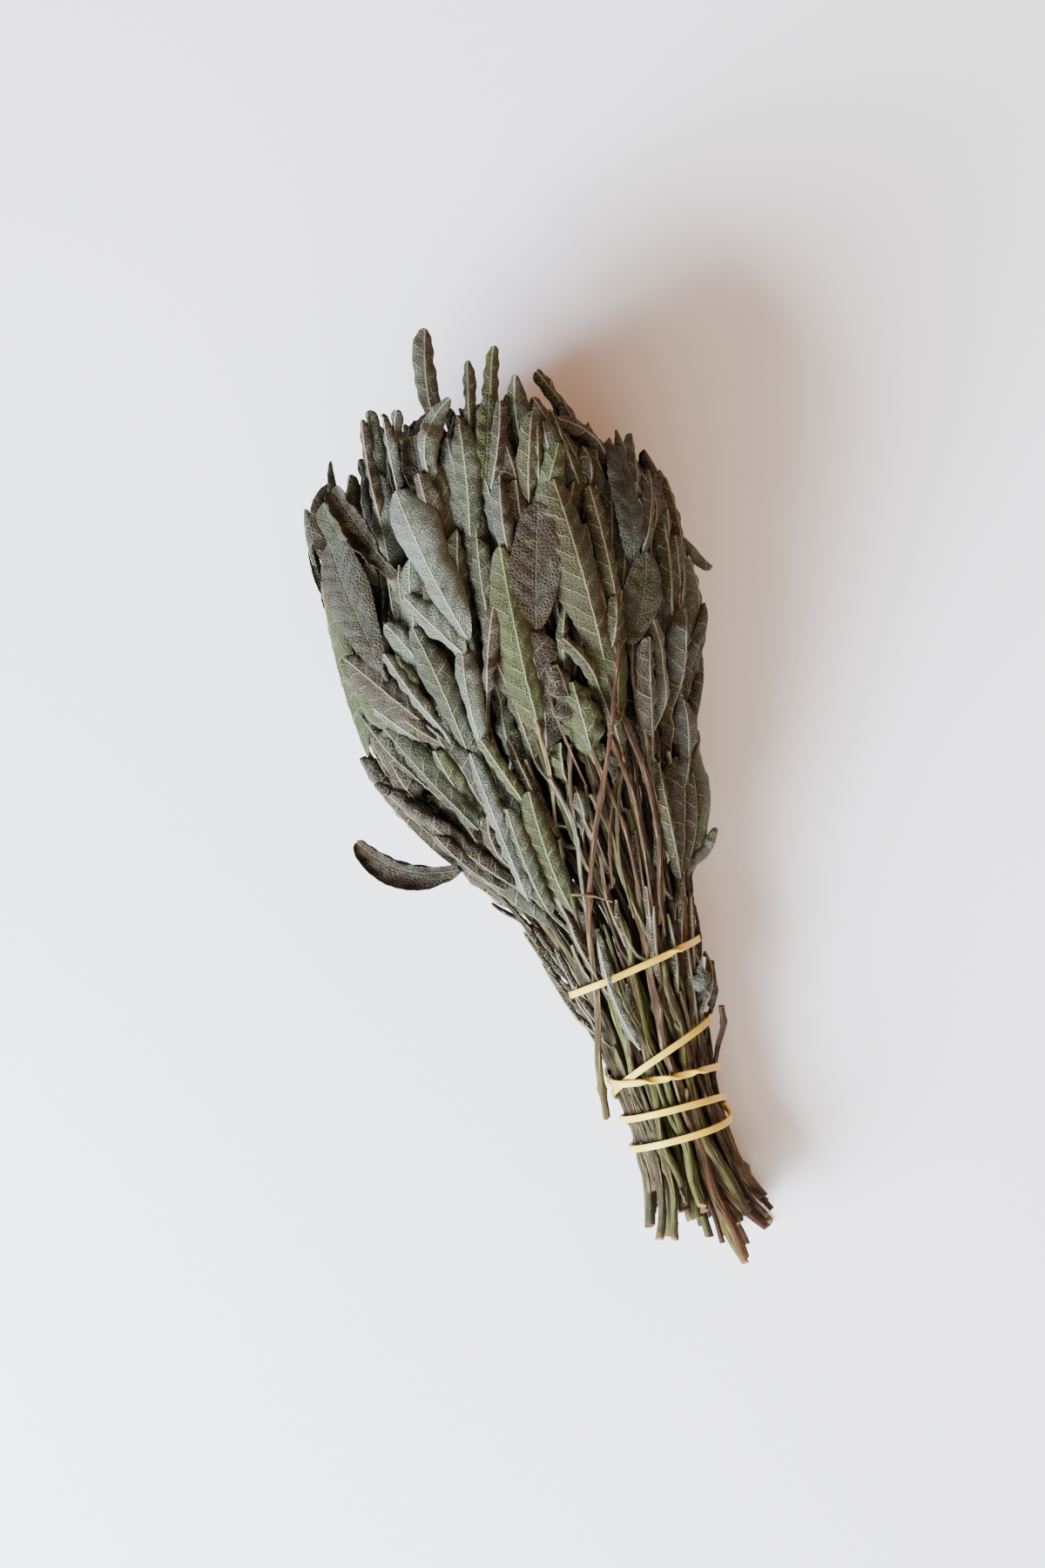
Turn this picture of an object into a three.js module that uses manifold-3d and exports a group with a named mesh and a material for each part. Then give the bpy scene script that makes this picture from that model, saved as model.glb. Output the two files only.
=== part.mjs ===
// A bunch of dried sage, tied with rubber bands and lying on its side. Millimetres, +Z up.
// The stems run along Y, with their cut ends towards -Y and their leaf tips towards +Y.
// Each sprig, a stem with the leaves that grow on it, is one solid, and each rubber band is another.

import * as THREE from "three";
import { mergeVertices } from "three/addons/utils/BufferGeometryUtils.js";
import Module from "manifold-3d";

const wasm = await Module();
wasm.setup();

const radians = THREE.MathUtils.degToRad;

// ---- Driving dimensions ----

const STEM_RADIUS = 1.1;
const STEM_TIP_RADIUS = 0.6;
const LEAF_LENGTH = 34;
const LEAF_LENGTH_SPREAD = 10; // between the shortest and the longest
const LEAF_THICKNESS = 1.1;
const LEAF_HALF_WIDTH = 0.34; // of the room between two neighbouring sprigs
const LEAF_SWAY = 0.1; // of that room too, alternately to either side
const BAND_WIDTH = 1.8; // of the flat rubber, along the stems
const BAND_THICKNESS = 0.8;
const GAP = 0.35; // air between two pieces that touch

// The stems are cut unevenly, start their leaves unevenly, and end unevenly: the lowest cut, and how
// far each of the three may differ.
const LOWEST_CUT = -2;
const CUT_SPREAD = 12;
const FIRST_LEAF_SPREAD = 5;
const TOP_SPREAD = 8;

// Sections across the bunch: the distance from the cut ends, the centre's place across and above
// the table, and the half width and half height of the leaves and stems there.
const STATIONS = [
  { along: -8, across: 8.6, up: 12.2, halfWidth: 15.6, halfHeight: 12.6 },
  { along: 8, across: 8.4, up: 11.4, halfWidth: 13.4, halfHeight: 11.2 },
  { along: 26, across: 7.4, up: 12.1, halfWidth: 12.2, halfHeight: 10.6 },
  { along: 45, across: 7.2, up: 14.0, halfWidth: 13.8, halfHeight: 11.8 },
  { along: 64, across: 6.2, up: 17.6, halfWidth: 16.2, halfHeight: 13.6 },
  { along: 80, across: 5.6, up: 21.0, halfWidth: 21.5, halfHeight: 17.4 },
  { along: 98, across: 2.6, up: 25.4, halfWidth: 29.5, halfHeight: 22.4 },
  { along: 118, across: 0.2, up: 28.6, halfWidth: 37.2, halfHeight: 27.6 },
  { along: 140, across: 0.6, up: 30.4, halfWidth: 42.4, halfHeight: 30.2 },
  { along: 162, across: 4.2, up: 30.9, halfWidth: 43.0, halfHeight: 30.6 },
  { along: 180, across: 4.4, up: 31.4, halfWidth: 38.0, halfHeight: 28.4 },
  { along: 195, across: 3.6, up: 32.0, halfWidth: 29.0, halfHeight: 21.6 },
  { along: 208, across: 1.6, up: 33.0, halfWidth: 16.0, halfHeight: 12.4 },
  { along: 222, across: -0.4, up: 34.0, halfWidth: 7.0, halfHeight: 6.0 },
];

// How much the underside is flattened by the bunch's own weight, out towards its edges.
const FLATTENING = 0.6;

// Where every stem bends.
const STEM_BENDS = [26, 45, 64, 80, 98, 118, 145];

// The sprigs stand in rings round the bunch's centre. share is a ring's place, from 0 at the centre
// to 1 at the outside, and firstLeaf and top say where its leaves start and its stems end.
const RINGS = [
  { name: "heart", count: 3, share: 0.15, firstLeaf: 150, top: 200, leaves: 2, leafTilt: 0.08 },
  { name: "inner", count: 9, share: 0.4, firstLeaf: 130, top: 192, leaves: 3, leafTilt: 0.08 },
  { name: "middle", count: 15, share: 0.65, firstLeaf: 106, top: 180, leaves: 3, leafTilt: 0.09 },
  { name: "outer", count: 21, share: 0.9, firstLeaf: 76, top: 166, leaves: 5, leafTilt: 0.11 },
];

// The open side of the bunch, where bare stems show above the neck: its middle and half width as
// angles round the bunch, from +X towards +Z, and how much later the leaves start there.
const OPEN_SIDE = { angle: radians(70), halfAngle: radians(48), delay: 40 };

// Where the outermost ring starts, so that the gap between two of its sprigs is under the front one.
const FRONT_ANGLE = radians(118);

// The rubber bands: how many turns each takes, where along the stems its middle is, and how much
// higher it lies on the bunch's right than on its left. A band that goes round twice has two passes,
// which lie spread apart and cross at one angle, and the higher the sharpness the shorter that is.
const BANDS = {
  neck_band: { turns: 1, along: 64.3, slant: 2.5 },
  crossed_band: { turns: 2, along: 40.4, slant: 1.9, spread: 6.3, crossing: radians(150), sharpness: 0.4 },
  lower_band: { turns: 2, along: 26.6, slant: 0, spread: 3.6, crossing: radians(325), sharpness: 2.2 },
};
const CROSSING_HALF_ANGLE = radians(34); // over which one pass rises over the other
const FRONT_HALF_ANGLE = radians(16); // over which the neck band rises over the front sprig

// ---- The space of the bunch ----

// A smooth curve through the stations: between two of them, the cubic whose slope at each is that
// of the chord between its neighbours.
function sectionAt(along) {
  const last = STATIONS.length - 1;
  let i = 0;
  while (i < last - 1 && along > STATIONS[i + 1].along) i += 1;
  const [a, b] = [STATIONS[i], STATIONS[i + 1]];
  const [before, after] = [STATIONS[Math.max(i - 1, 0)], STATIONS[Math.min(i + 2, last)]];
  const span = b.along - a.along;
  const t = THREE.MathUtils.clamp((along - a.along) / span, 0, 1);
  const blend = (key) => {
    const slopeA = ((b[key] - before[key]) / (b.along - before.along)) * span;
    const slopeB = ((after[key] - a[key]) / (after.along - a.along)) * span;
    const [t2, t3] = [t * t, t * t * t];
    return (
      (2 * t3 - 3 * t2 + 1) * a[key] +
      (t3 - 2 * t2 + t) * slopeA +
      (3 * t2 - 2 * t3) * b[key] +
      (t3 - t2) * slopeB
    );
  };
  return {
    across: blend("across"),
    up: blend("up"),
    halfWidth: blend("halfWidth"),
    halfHeight: blend("halfHeight"),
  };
}

// The point at a share of the way from the centre to the outside, at an angle round the bunch.
function place(share, angle, along) {
  const c = sectionAt(along);
  const sideways = share * Math.cos(angle);
  const upwards = share * Math.sin(angle);
  const pressed = upwards < 0 ? upwards * (1 + FLATTENING * sideways * sideways) : upwards;
  return new THREE.Vector3(c.across + c.halfWidth * sideways, along, c.up + c.halfHeight * pressed);
}

// A repeatable number from 0 to 1 for each piece and purpose.
function chance(piece, purpose) {
  const v = Math.sin(piece * 12.9898 + purpose * 78.233) * 43758.5453;
  return v - Math.floor(v);
}

// 1 in the middle of the open side, falling to 0 at its edges.
function openness(angle) {
  const off = Math.abs(Math.atan2(Math.sin(angle - OPEN_SIDE.angle), Math.cos(angle - OPEN_SIDE.angle)));
  return 1 - THREE.MathUtils.smoothstep(off, OPEN_SIDE.halfAngle * 0.5, OPEN_SIDE.halfAngle);
}

// ---- Shapes ----

// A square stem through a row of points, thinning from its cut end to its tip.
function stemThrough(points) {
  const steps = points.length - 1;
  const geometry = new THREE.CylinderGeometry(1, 1, 1, 4, steps);
  const p = geometry.attributes.position;
  const up = new THREE.Vector3(0, 0, 1);
  for (let i = 0; i < p.count; i += 1) {
    const row = Math.round((p.getY(i) + 0.5) * steps);
    const forward = points[Math.min(row + 1, steps)].clone().sub(points[Math.max(row - 1, 0)]).normalize();
    const side = forward.clone().cross(up).normalize();
    const over = side.clone().cross(forward);
    const radius = THREE.MathUtils.lerp(STEM_RADIUS, STEM_TIP_RADIUS, row / steps);
    const point = points[row]
      .clone()
      .addScaledVector(side, p.getX(i) * radius)
      .addScaledVector(over, p.getZ(i) * radius);
    p.setXYZ(i, point.x, point.y, point.z);
  }
  return geometry;
}

// The point of a row of points at a distance along the bunch.
function pointAlong(points, along) {
  let i = 0;
  while (i < points.length - 2 && along > points[i + 1].y) i += 1;
  const t = (along - points[i].y) / (points[i + 1].y - points[i].y);
  return points[i].clone().lerp(points[i + 1], t);
}

// A leaf: a four-sided blade laid along the bunch. It grows from the middle of its stem, at share
// and angle, leans outwards by tilt and sideways by sway on its way to the tip, and is as wide as
// halfAngle to either side.
function leafOn(stemPoints, { share, angle, along, length, tilt, sway, halfAngle }) {
  const geometry = new THREE.SphereGeometry(1, 4, 3);
  const p = geometry.attributes.position;
  const base = pointAlong(stemPoints, along);
  for (let i = 0; i < p.count; i += 1) {
    const t = (p.getY(i) + 1) / 2;
    const at = along + t * length;
    const outwards = (p.getZ(i) * LEAF_THICKNESS) / 2 / sectionAt(at).halfHeight;
    const point =
      t === 0 ? base : place(share + tilt * t + outwards, angle + sway * t - p.getX(i) * halfAngle, at);
    p.setXYZ(i, point.x, point.y, point.z);
  }
  return geometry;
}

// A smooth hump of the given height round one angle of the whole winding.
function hump(angle, middle, halfAngle, height) {
  return height * Math.exp(-(((angle - middle) / halfAngle) ** 2));
}

// How far along the stems a pass of a band that goes round twice lies from the band's middle.
function passOffset(angle, { spread, crossing, sharpness }) {
  return (spread * Math.tanh(sharpness * Math.sin((crossing - angle) / 2))) / Math.tanh(sharpness);
}

// A rubber band: a closed strip of rectangular section that goes round the stems, and stands off
// them by lift(angle) as well as by the room that the outer stems take.
function bandRound({ turns, along, slant, ...crossed }, lift) {
  const stepsPerTurn = 30;
  const geometry = new THREE.TorusGeometry(2, 1, 4, stepsPerTurn * turns);
  const p = geometry.attributes.position;
  const uv = geometry.attributes.uv;
  const ringShare = RINGS.at(-1).share;
  const standOff = STEM_RADIUS + GAP + BAND_THICKNESS / 2;
  for (let i = 0; i < p.count; i += 1) {
    const angle = (uv.getX(i) % 1) * 2 * Math.PI * turns;
    const corner = (uv.getY(i) % 1) * 2 * Math.PI + Math.PI / 4;
    const at = along + slant * Math.cos(angle) + (turns > 1 ? passOffset(angle, crossed) : 0);
    const c = sectionAt(at);
    const outwards = new THREE.Vector3(Math.cos(angle) / c.halfWidth, 0, Math.sin(angle) / c.halfHeight);
    const rise = standOff + lift(angle) + (Math.sign(Math.sin(corner)) * BAND_THICKNESS) / 2;
    const point = place(ringShare, angle, at).addScaledVector(outwards.normalize(), rise);
    point.y += (Math.sign(Math.cos(corner)) * BAND_WIDTH) / 2;
    p.setXYZ(i, point.x, point.y, point.z);
  }
  return geometry;
}

// ---- Solids ----

function solidOf(geometry) {
  const bare = geometry.clone();
  bare.deleteAttribute("normal");
  bare.deleteAttribute("uv");
  const merged = mergeVertices(bare, 1e-4);
  return new wasm.Manifold(
    new wasm.Mesh({
      numProp: 3,
      vertProperties: merged.attributes.position.array,
      triVerts: new Uint32Array(merged.index.array),
    }),
  );
}

function geometryOf(solid) {
  const mesh = solid.getMesh();
  const geometry = new THREE.BufferGeometry();
  geometry.setAttribute("position", new THREE.BufferAttribute(mesh.vertProperties, 3));
  geometry.setIndex(new THREE.BufferAttribute(mesh.triVerts, 1));
  geometry.computeVertexNormals();
  return geometry;
}

// The table top: whatever would reach below it is pressed flat on it.
const table = solidOf(new THREE.BoxGeometry(300, 400, 40).translate(0, 100, -20));

// ---- The pieces ----

const leafMaterial = new THREE.MeshStandardMaterial({ color: 0x8a947d, roughness: 0.92, metalness: 0 });
const rubberMaterial = new THREE.MeshStandardMaterial({ color: 0xd9c67c, roughness: 0.5, metalness: 0 });

const bunch = new THREE.Group();
bunch.name = "sage_bunch";

function addPiece(name, solid, material) {
  const mesh = new THREE.Mesh(geometryOf(solid), material);
  mesh.name = name;
  bunch.add(mesh);
}

// Joins a sprig's stem and leaves into one solid, and presses it flat where it meets the table.
function addSprig(name, stem, leaves) {
  const grown = leaves.reduce((solid, one) => solid.add(solidOf(one)), solidOf(stem));
  addPiece(name, grown.subtract(table), leafMaterial);
}

RINGS.forEach((ring, ringIndex) => {
  const spacing = (2 * Math.PI) / ring.count;
  const isOutermost = ringIndex === RINGS.length - 1;
  for (let i = 0; i < ring.count; i += 1) {
    const piece = ringIndex * 30 + i;
    const angle = FRONT_ANGLE + spacing * (isOutermost ? i + 0.5 : i);
    const delay = OPEN_SIDE.delay * openness(angle) * ring.share;
    const cut = LOWEST_CUT + CUT_SPREAD * chance(piece, 1);
    const top = ring.top - TOP_SPREAD * chance(piece, 2);
    const firstLeaf = ring.firstLeaf + delay + FIRST_LEAF_SPREAD * chance(piece, 3);
    const lastLeaf = top - LEAF_LENGTH * 0.45;
    const leafStep = (lastLeaf - firstLeaf) / (ring.leaves - 1);
    const stemPoints = [cut, ...STEM_BENDS, top].map((at) => place(ring.share, angle, at));
    const leaves = Array.from({ length: ring.leaves }, (_, n) =>
      leafOn(stemPoints, {
        share: ring.share,
        angle,
        along: firstLeaf + leafStep * n,
        length: LEAF_LENGTH + LEAF_LENGTH_SPREAD * (chance(piece, 10 + n) - 0.5),
        tilt: ring.leafTilt,
        sway: (n % 2 ? LEAF_SWAY : -LEAF_SWAY) * spacing,
        halfAngle: LEAF_HALF_WIDTH * spacing,
      }),
    );
    addSprig(`${ring.name}_sprig_${String(i + 1).padStart(2, "0")}`, stemThrough(stemPoints), leaves);
  }
});

// The sprig in front: its stem is cut short, hangs free beside the lower bands, slips under the neck
// band and crosses over the bare stems to a pair of leaves.
const frontStem = [
  place(1.3, radians(164), 32),
  place(1.22, radians(150), 45),
  place(1.04, radians(124), 58),
  place(1.03, FRONT_ANGLE, 68),
  place(1.12, radians(104), 80),
  place(1.1, radians(84), 98),
  place(1.09, radians(70), 116),
  place(1.08, radians(62), 137),
];
const frontPair = { share: 1.08, angle: radians(62), along: 135, tilt: 0.02, halfAngle: 0.14 };
addSprig("front_sprig", stemThrough(frontStem), [
  leafOn(frontStem, { ...frontPair, sway: 0.06, length: 38 }),
  leafOn(frontStem, { ...frontPair, sway: -0.08, length: 30 }),
]);

// ---- The rubber bands ----

function addBand(name, lift) {
  addPiece(name, solidOf(bandRound(BANDS[name], lift)), rubberMaterial);
}

// The neck band goes round once, over the front sprig.
addBand("neck_band", (angle) =>
  hump(angle, FRONT_ANGLE, FRONT_HALF_ANGLE, 2 * (STEM_RADIUS + GAP)),
);

// The passes of the crossed band cross in front, near the left edge, the second over the first.
const passOver = BAND_THICKNESS + 2 * GAP;
addBand("crossed_band", (angle) =>
  hump(angle, BANDS.crossed_band.crossing + 2 * Math.PI, CROSSING_HALF_ANGLE, passOver),
);

// Those of the lower band cross where the bunch hides it, the first over the second.
addBand("lower_band", (angle) =>
  hump(angle, BANDS.lower_band.crossing, CROSSING_HALF_ANGLE, passOver),
);

// The origin is under the middle of the bunch, on the table.
const middle = new THREE.Box3().setFromObject(bunch).getCenter(new THREE.Vector3());
bunch.position.set(-middle.x, -middle.y, 0);

export default bunch;
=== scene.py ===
"""A bunch of dried sage, tied with rubber bands and lying on its side on a pale table."""

import functools
import math
from typing import NamedTuple

import bpy
import numpy as np
from mathutils import Matrix, Vector


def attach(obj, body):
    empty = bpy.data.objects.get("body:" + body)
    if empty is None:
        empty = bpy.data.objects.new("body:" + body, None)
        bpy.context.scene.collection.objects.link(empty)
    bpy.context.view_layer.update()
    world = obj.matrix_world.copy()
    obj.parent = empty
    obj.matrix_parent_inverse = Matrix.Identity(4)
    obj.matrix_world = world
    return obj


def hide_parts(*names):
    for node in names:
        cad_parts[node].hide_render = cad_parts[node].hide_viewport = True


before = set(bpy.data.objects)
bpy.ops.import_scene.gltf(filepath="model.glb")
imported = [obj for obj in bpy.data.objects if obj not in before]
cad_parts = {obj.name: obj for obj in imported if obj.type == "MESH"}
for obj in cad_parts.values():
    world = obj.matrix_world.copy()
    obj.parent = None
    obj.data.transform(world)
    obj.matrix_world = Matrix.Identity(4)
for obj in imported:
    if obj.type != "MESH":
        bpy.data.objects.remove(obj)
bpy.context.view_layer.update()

bl_info = {
    "name": "Dried Sage Bunch",
    "version": (1, 0, 0),
    "blender": (4, 5, 0),
    "location": "View3D > Sidebar > Sage",
    "description": "Makes a bunch of dried sage with its stems, leaves and rubber bands",
    "category": "Add Mesh",
}

MM = 0.001

# ---- The space of the bunch, as the frame's solids have it ----
# Lengths are in millimetres. "along" is measured from the cut ends, "across" to the right of the
# line that the stems are set out on, and ORIGIN is the frame's origin in those two.

ORIGIN = (2.605, 109.646)

# along, centre across, centre up, half width, half height
STATIONS = np.array([
    (-8, 8.6, 12.2, 15.6, 12.6),
    (8, 8.4, 11.4, 13.4, 11.2),
    (26, 7.4, 12.1, 12.2, 10.6),
    (45, 7.2, 14.0, 13.8, 11.8),
    (64, 6.2, 17.6, 16.2, 13.6),
    (80, 5.6, 21.0, 21.5, 17.4),
    (98, 2.6, 25.4, 29.5, 22.4),
    (118, 0.2, 28.6, 37.2, 27.6),
    (140, 0.6, 30.4, 42.4, 30.2),
    (162, 4.2, 30.9, 43.0, 30.6),
    (180, 4.4, 31.4, 38.0, 28.4),
    (195, 3.6, 32.0, 29.0, 21.6),
    (208, 1.6, 33.0, 16.0, 12.4),
    (222, -0.4, 34.0, 7.0, 6.0),
])
FLATTENING = 0.6  # of the underside, by the bunch's own weight

# How much higher than its ring each stem's own wander takes it, and how long a wave of it is.
WANDER = 0.45
WANDER_LENGTH = 70.0

# How far out the cut ends stand at each side.
END_SPREAD_LEFT, END_SPREAD_RIGHT = 3.0, 6.0
# How much shorter a stem is at its cut end, by its place across.
CUT_PLACES = (-9, -6, -3, 2, 7, 11, 16, 20, 25)
CUT_SHORTER = (-1, -2.5, 3, 4, 2, -4, -4.5, -2, 2)


class Ring(NamedTuple):
    """One ring of sprigs round the bunch's centre."""
    name: str
    count: int
    share: float        # of the way from the centre to the outside
    first_leaf: float   # where its leaves start, mm along
    top: float          # where its stems end, mm along
    pairs: int          # of leaves on a sprig
    tilt: float         # share that a leaf's tip stands further out than its base


RINGS = [
    Ring("heart", 3, 0.15, 142, 200, 3, 0.16),
    Ring("inner", 9, 0.40, 122, 192, 4, 0.16),
    Ring("middle", 15, 0.65, 100, 180, 5, 0.08),
    Ring("outer", 21, 0.90, 74, 166, 4, 0.03),
]
OPEN_SIDE_ANGLE = math.radians(70)
OPEN_SIDE_HALF_ANGLE = math.radians(48)
OPEN_SIDE_DELAY = 40.0
FRONT_ANGLE = math.radians(118)
LOWEST_CUT = -2.0
CUT_SPREAD = 12.0
TOP_SPREAD = 8.0
SHOULDER = 172.0           # mm along, where the head stops widening
SHOULDER_NARROWING = 0.35
TAPER_START = 180.0
FIRST_LEAF_SPREAD = 5.0


def section_at(along):
    """Centre across, centre up, half width and half height at each distance along: between two
    stations, the cubic whose slope at each is that of the chord between its neighbours."""
    along = np.asarray(along, float)
    places = STATIONS[:, 0]
    last = len(places) - 1
    i = np.clip(np.searchsorted(places, along) - 1, 0, last - 1)
    before, after = np.maximum(i - 1, 0), np.minimum(i + 2, last)
    span = (places[i + 1] - places[i])[..., None]
    t = np.clip((along - places[i]) / (places[i + 1] - places[i]), 0, 1)[..., None]
    a, b = STATIONS[i, 1:], STATIONS[i + 1, 1:]
    slope_a = (b - STATIONS[before, 1:]) / (places[i + 1] - places[before])[..., None] * span
    slope_b = (STATIONS[after, 1:] - a) / (places[after] - places[i])[..., None] * span
    t2, t3 = t * t, t * t * t
    value = ((2 * t3 - 3 * t2 + 1) * a + (t3 - 2 * t2 + t) * slope_a
             + (3 * t2 - 2 * t3) * b + (t3 - t2) * slope_b)
    return np.moveaxis(value, -1, 0)


def place(share, angle, along):
    """Points at a share of the way out, at an angle from +X towards +Z, in the frame's mm. Below
    the centre, the height is multiplied by 1 + FLATTENING times the sideways share squared."""
    share, angle, along = np.broadcast_arrays(share, angle, along)
    across, up, half_width, half_height = section_at(along)
    sideways, upwards = share * np.cos(angle), share * np.sin(angle)
    upwards = np.where(upwards < 0, upwards * (1 + FLATTENING * sideways ** 2), upwards)
    return np.stack([across + half_width * sideways - ORIGIN[0],
                     along - ORIGIN[1],
                     up + half_height * upwards], -1)


def upper_point(across, along, level):
    """A point on the upper side, on the shell at a level, with its angle. Past TAPER_START the
    shell is taken not to narrow."""
    centre, up, half_width, half_height = section_at(np.minimum(along, TAPER_START))
    sideways = (across - centre) / half_width
    upwards = math.sqrt(max(level ** 2 - sideways ** 2, 0.0))
    point = np.array([across - ORIGIN[0], along - ORIGIN[1], up + half_height * upwards])
    return point, math.atan2(upwards, sideways)


def place_by_shoulder(share, angle, along):
    """As place, but past the shoulder the bunch hardly narrows, since its leaves stand there side
    by side and only their lengths differ."""
    past = np.maximum(along - SHOULDER, 0)
    point = place(share, angle, np.minimum(along, SHOULDER) + SHOULDER_NARROWING * past)
    point[..., 1] = along - ORIGIN[1]
    return point


def out_and_angle(points):
    """How far out a point lies, in mm of height, and its angle: the inverse of place, with the
    section at TAPER_START for all that lies past it. Last, the move that takes it 1 mm out."""
    along = points[..., 1] + ORIGIN[1]
    across, up, half_width, half_height = section_at(np.minimum(along, TAPER_START))
    sideways = (points[..., 0] + ORIGIN[0] - across) / half_width
    upwards = (points[..., 2] - up) / half_height
    flatten = np.where(upwards < 0, 1 + FLATTENING * np.minimum(sideways ** 2, 1.0), 1.0)
    upwards = upwards / flatten
    angle = np.arctan2(upwards, sideways)
    move = np.stack([np.cos(angle) * half_width / half_height, np.zeros_like(angle),
                     np.sin(angle) * flatten], -1)
    return np.hypot(sideways, upwards) * half_height, angle, along, move


def outwards_at(angle, along):
    """The direction square to the shell at an angle, where the shell is an ellipse."""
    _, _, half_width, half_height = section_at(along)
    return unit(np.stack([np.cos(angle) / half_width, np.zeros_like(half_width),
                          np.sin(angle) / half_height], -1))


def unit(vectors):
    """Vectors of length 1."""
    return vectors / np.maximum(np.linalg.norm(vectors, axis=-1, keepdims=True), 1e-9)


def chance(piece, purpose):
    """A repeatable number from 0 to 1 for each piece and purpose: the fraction of a large
    multiple of a sine. The frame's solids use the same one."""
    v = math.sin(piece * 12.9898 + purpose * 78.233) * 43758.5453
    return v - math.floor(v)


def openness(angle):
    """1 in the middle of the open side, where bare stems show, falling to 0 at its edges."""
    off = abs(math.atan2(math.sin(angle - OPEN_SIDE_ANGLE), math.cos(angle - OPEN_SIDE_ANGLE)))
    t = (off - OPEN_SIDE_HALF_ANGLE * 0.5) / (OPEN_SIDE_HALF_ANGLE * 0.5)
    t = min(max(t, 0.0), 1.0)
    return 1 - t * t * (3 - 2 * t)


# ---- Colours ----

def linear(code):
    """The linear red, green and blue of an sRGB hex code."""
    parts = [int(code[i:i + 2], 16) / 255 for i in (1, 3, 5)]
    return tuple(p / 12.92 if p <= 0.04045 else ((p + 0.055) / 1.055) ** 2.4 for p in parts)


# Each tone of dried leaf: its upper side and its underside.
LEAF_TONES = {
    "silver": ("#434A3D", "#606A5F"),
    "grey": ("#34372F", "#41453E"),
    "sage": ("#2A3222", "#37402F"),
    "olive": ("#2A2B18", "#37371E"),
    "fresh": ("#2E3718", "#3C4723"),
    "brown": ("#29231B", "#372F25"),
    "umber": ("#17110C", "#1F1811"),
}
# Each tone of bark, near the cut end and near the top: on the bunch's left side and on its right.
STEM_TONES = {
    "left": (("#43461E", "#31281A"), ("#35381B", "#38301D"), ("#34301D", "#2D2618"),
             ("#4A4D22", "#3A3C20"), ("#3A2B18", "#33321D")),
    "right": (("#4A2F18", "#2F2014"), ("#525420", "#3B2C19"), ("#3C2715", "#2F1F12"),
              ("#50381C", "#352414"), ("#2C1E11", "#251B11"), ("#4A461C", "#322616")),
}
FRONT_STEM_TONES = ("#46431E", "#402616")
SHOOT_TONES = ("#3A2C1B", "#4A4229", "#474A25", "#2F2317", "#565038")
# Dried brown of dead edges, darkened further as painted shade between neighbouring leaves.
DEAD_AND_SHADED_EDGE = "#342718"


class BunchColours(bpy.types.PropertyGroup):
    """The colours that a user would change."""
    rubber: bpy.props.FloatVectorProperty(
        name="Rubber", description="Colour of the rubber bands", subtype="COLOR", size=3,
        min=0, max=1, default=linear("#CDAF34"))
    vein: bpy.props.FloatVectorProperty(
        name="Veins", description="Colour of the raised veins on a leaf's underside",
        subtype="COLOR", size=3, min=0, max=1, default=linear("#B3AC8A"))
    floor: bpy.props.FloatVectorProperty(
        name="Table", description="Colour of the table", subtype="COLOR", size=3,
        min=0, max=1, default=linear("#ECEDF1"))


class BunchSizes(bpy.types.PropertyGroup):
    """The sizes that a user would change."""
    leaf_length: bpy.props.FloatProperty(
        name="Leaf Length", description="Length of a full leaf's blade", unit="LENGTH",
        default=0.034, min=0.01, max=0.08)
    leaf_width: bpy.props.FloatProperty(
        name="Leaf Width", description="Width of a full leaf's blade, flattened out", unit="LENGTH",
        default=0.0110, min=0.004, max=0.03)
    leaf_thickness: bpy.props.FloatProperty(
        name="Leaf Thickness", description="Thickness of a dried blade", unit="LENGTH",
        default=0.00032, min=0.0001, max=0.001)
    stem_diameter: bpy.props.FloatProperty(
        name="Stem Diameter", description="Thickness of a stem at its cut end", unit="LENGTH",
        default=0.0022, min=0.001, max=0.005)
    band_width: bpy.props.FloatProperty(
        name="Band Width", description="Width of the flat rubber", unit="LENGTH",
        default=0.0016, min=0.0005, max=0.004)
    band_thickness: bpy.props.FloatProperty(
        name="Band Thickness", description="Thickness of the flat rubber", unit="LENGTH",
        default=0.00075, min=0.0002, max=0.002)


# ---- Meshes ----

class Surface(NamedTuple):
    """Points with their faces, a place in mm on the surface for each face corner, and values
    for each point."""
    points: np.ndarray
    faces: np.ndarray
    corners: np.ndarray
    values: dict


def joined(surfaces):
    """One surface of several."""
    start = np.cumsum([0] + [len(s.points) for s in surfaces[:-1]])
    return Surface(
        np.concatenate([s.points for s in surfaces]),
        np.concatenate([s.faces + offset for s, offset in zip(surfaces, start)]),
        np.concatenate([s.corners for s in surfaces]),
        {key: np.concatenate([s.values[key] for s in surfaces]) for key in surfaces[0].values})


TABLE_CLEARANCE = 0.8  # how gently the underside is pressed flat, mm


def pressed_on_table(points):
    """Lifts what would reach below the table: a height h becomes half the sum of h and of the
    square root of h squared plus the clearance squared."""
    lifted = points.copy()
    lifted[:, 2] = (points[:, 2] + np.hypot(points[:, 2], TABLE_CLEARANCE)) / 2
    return lifted


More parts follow.
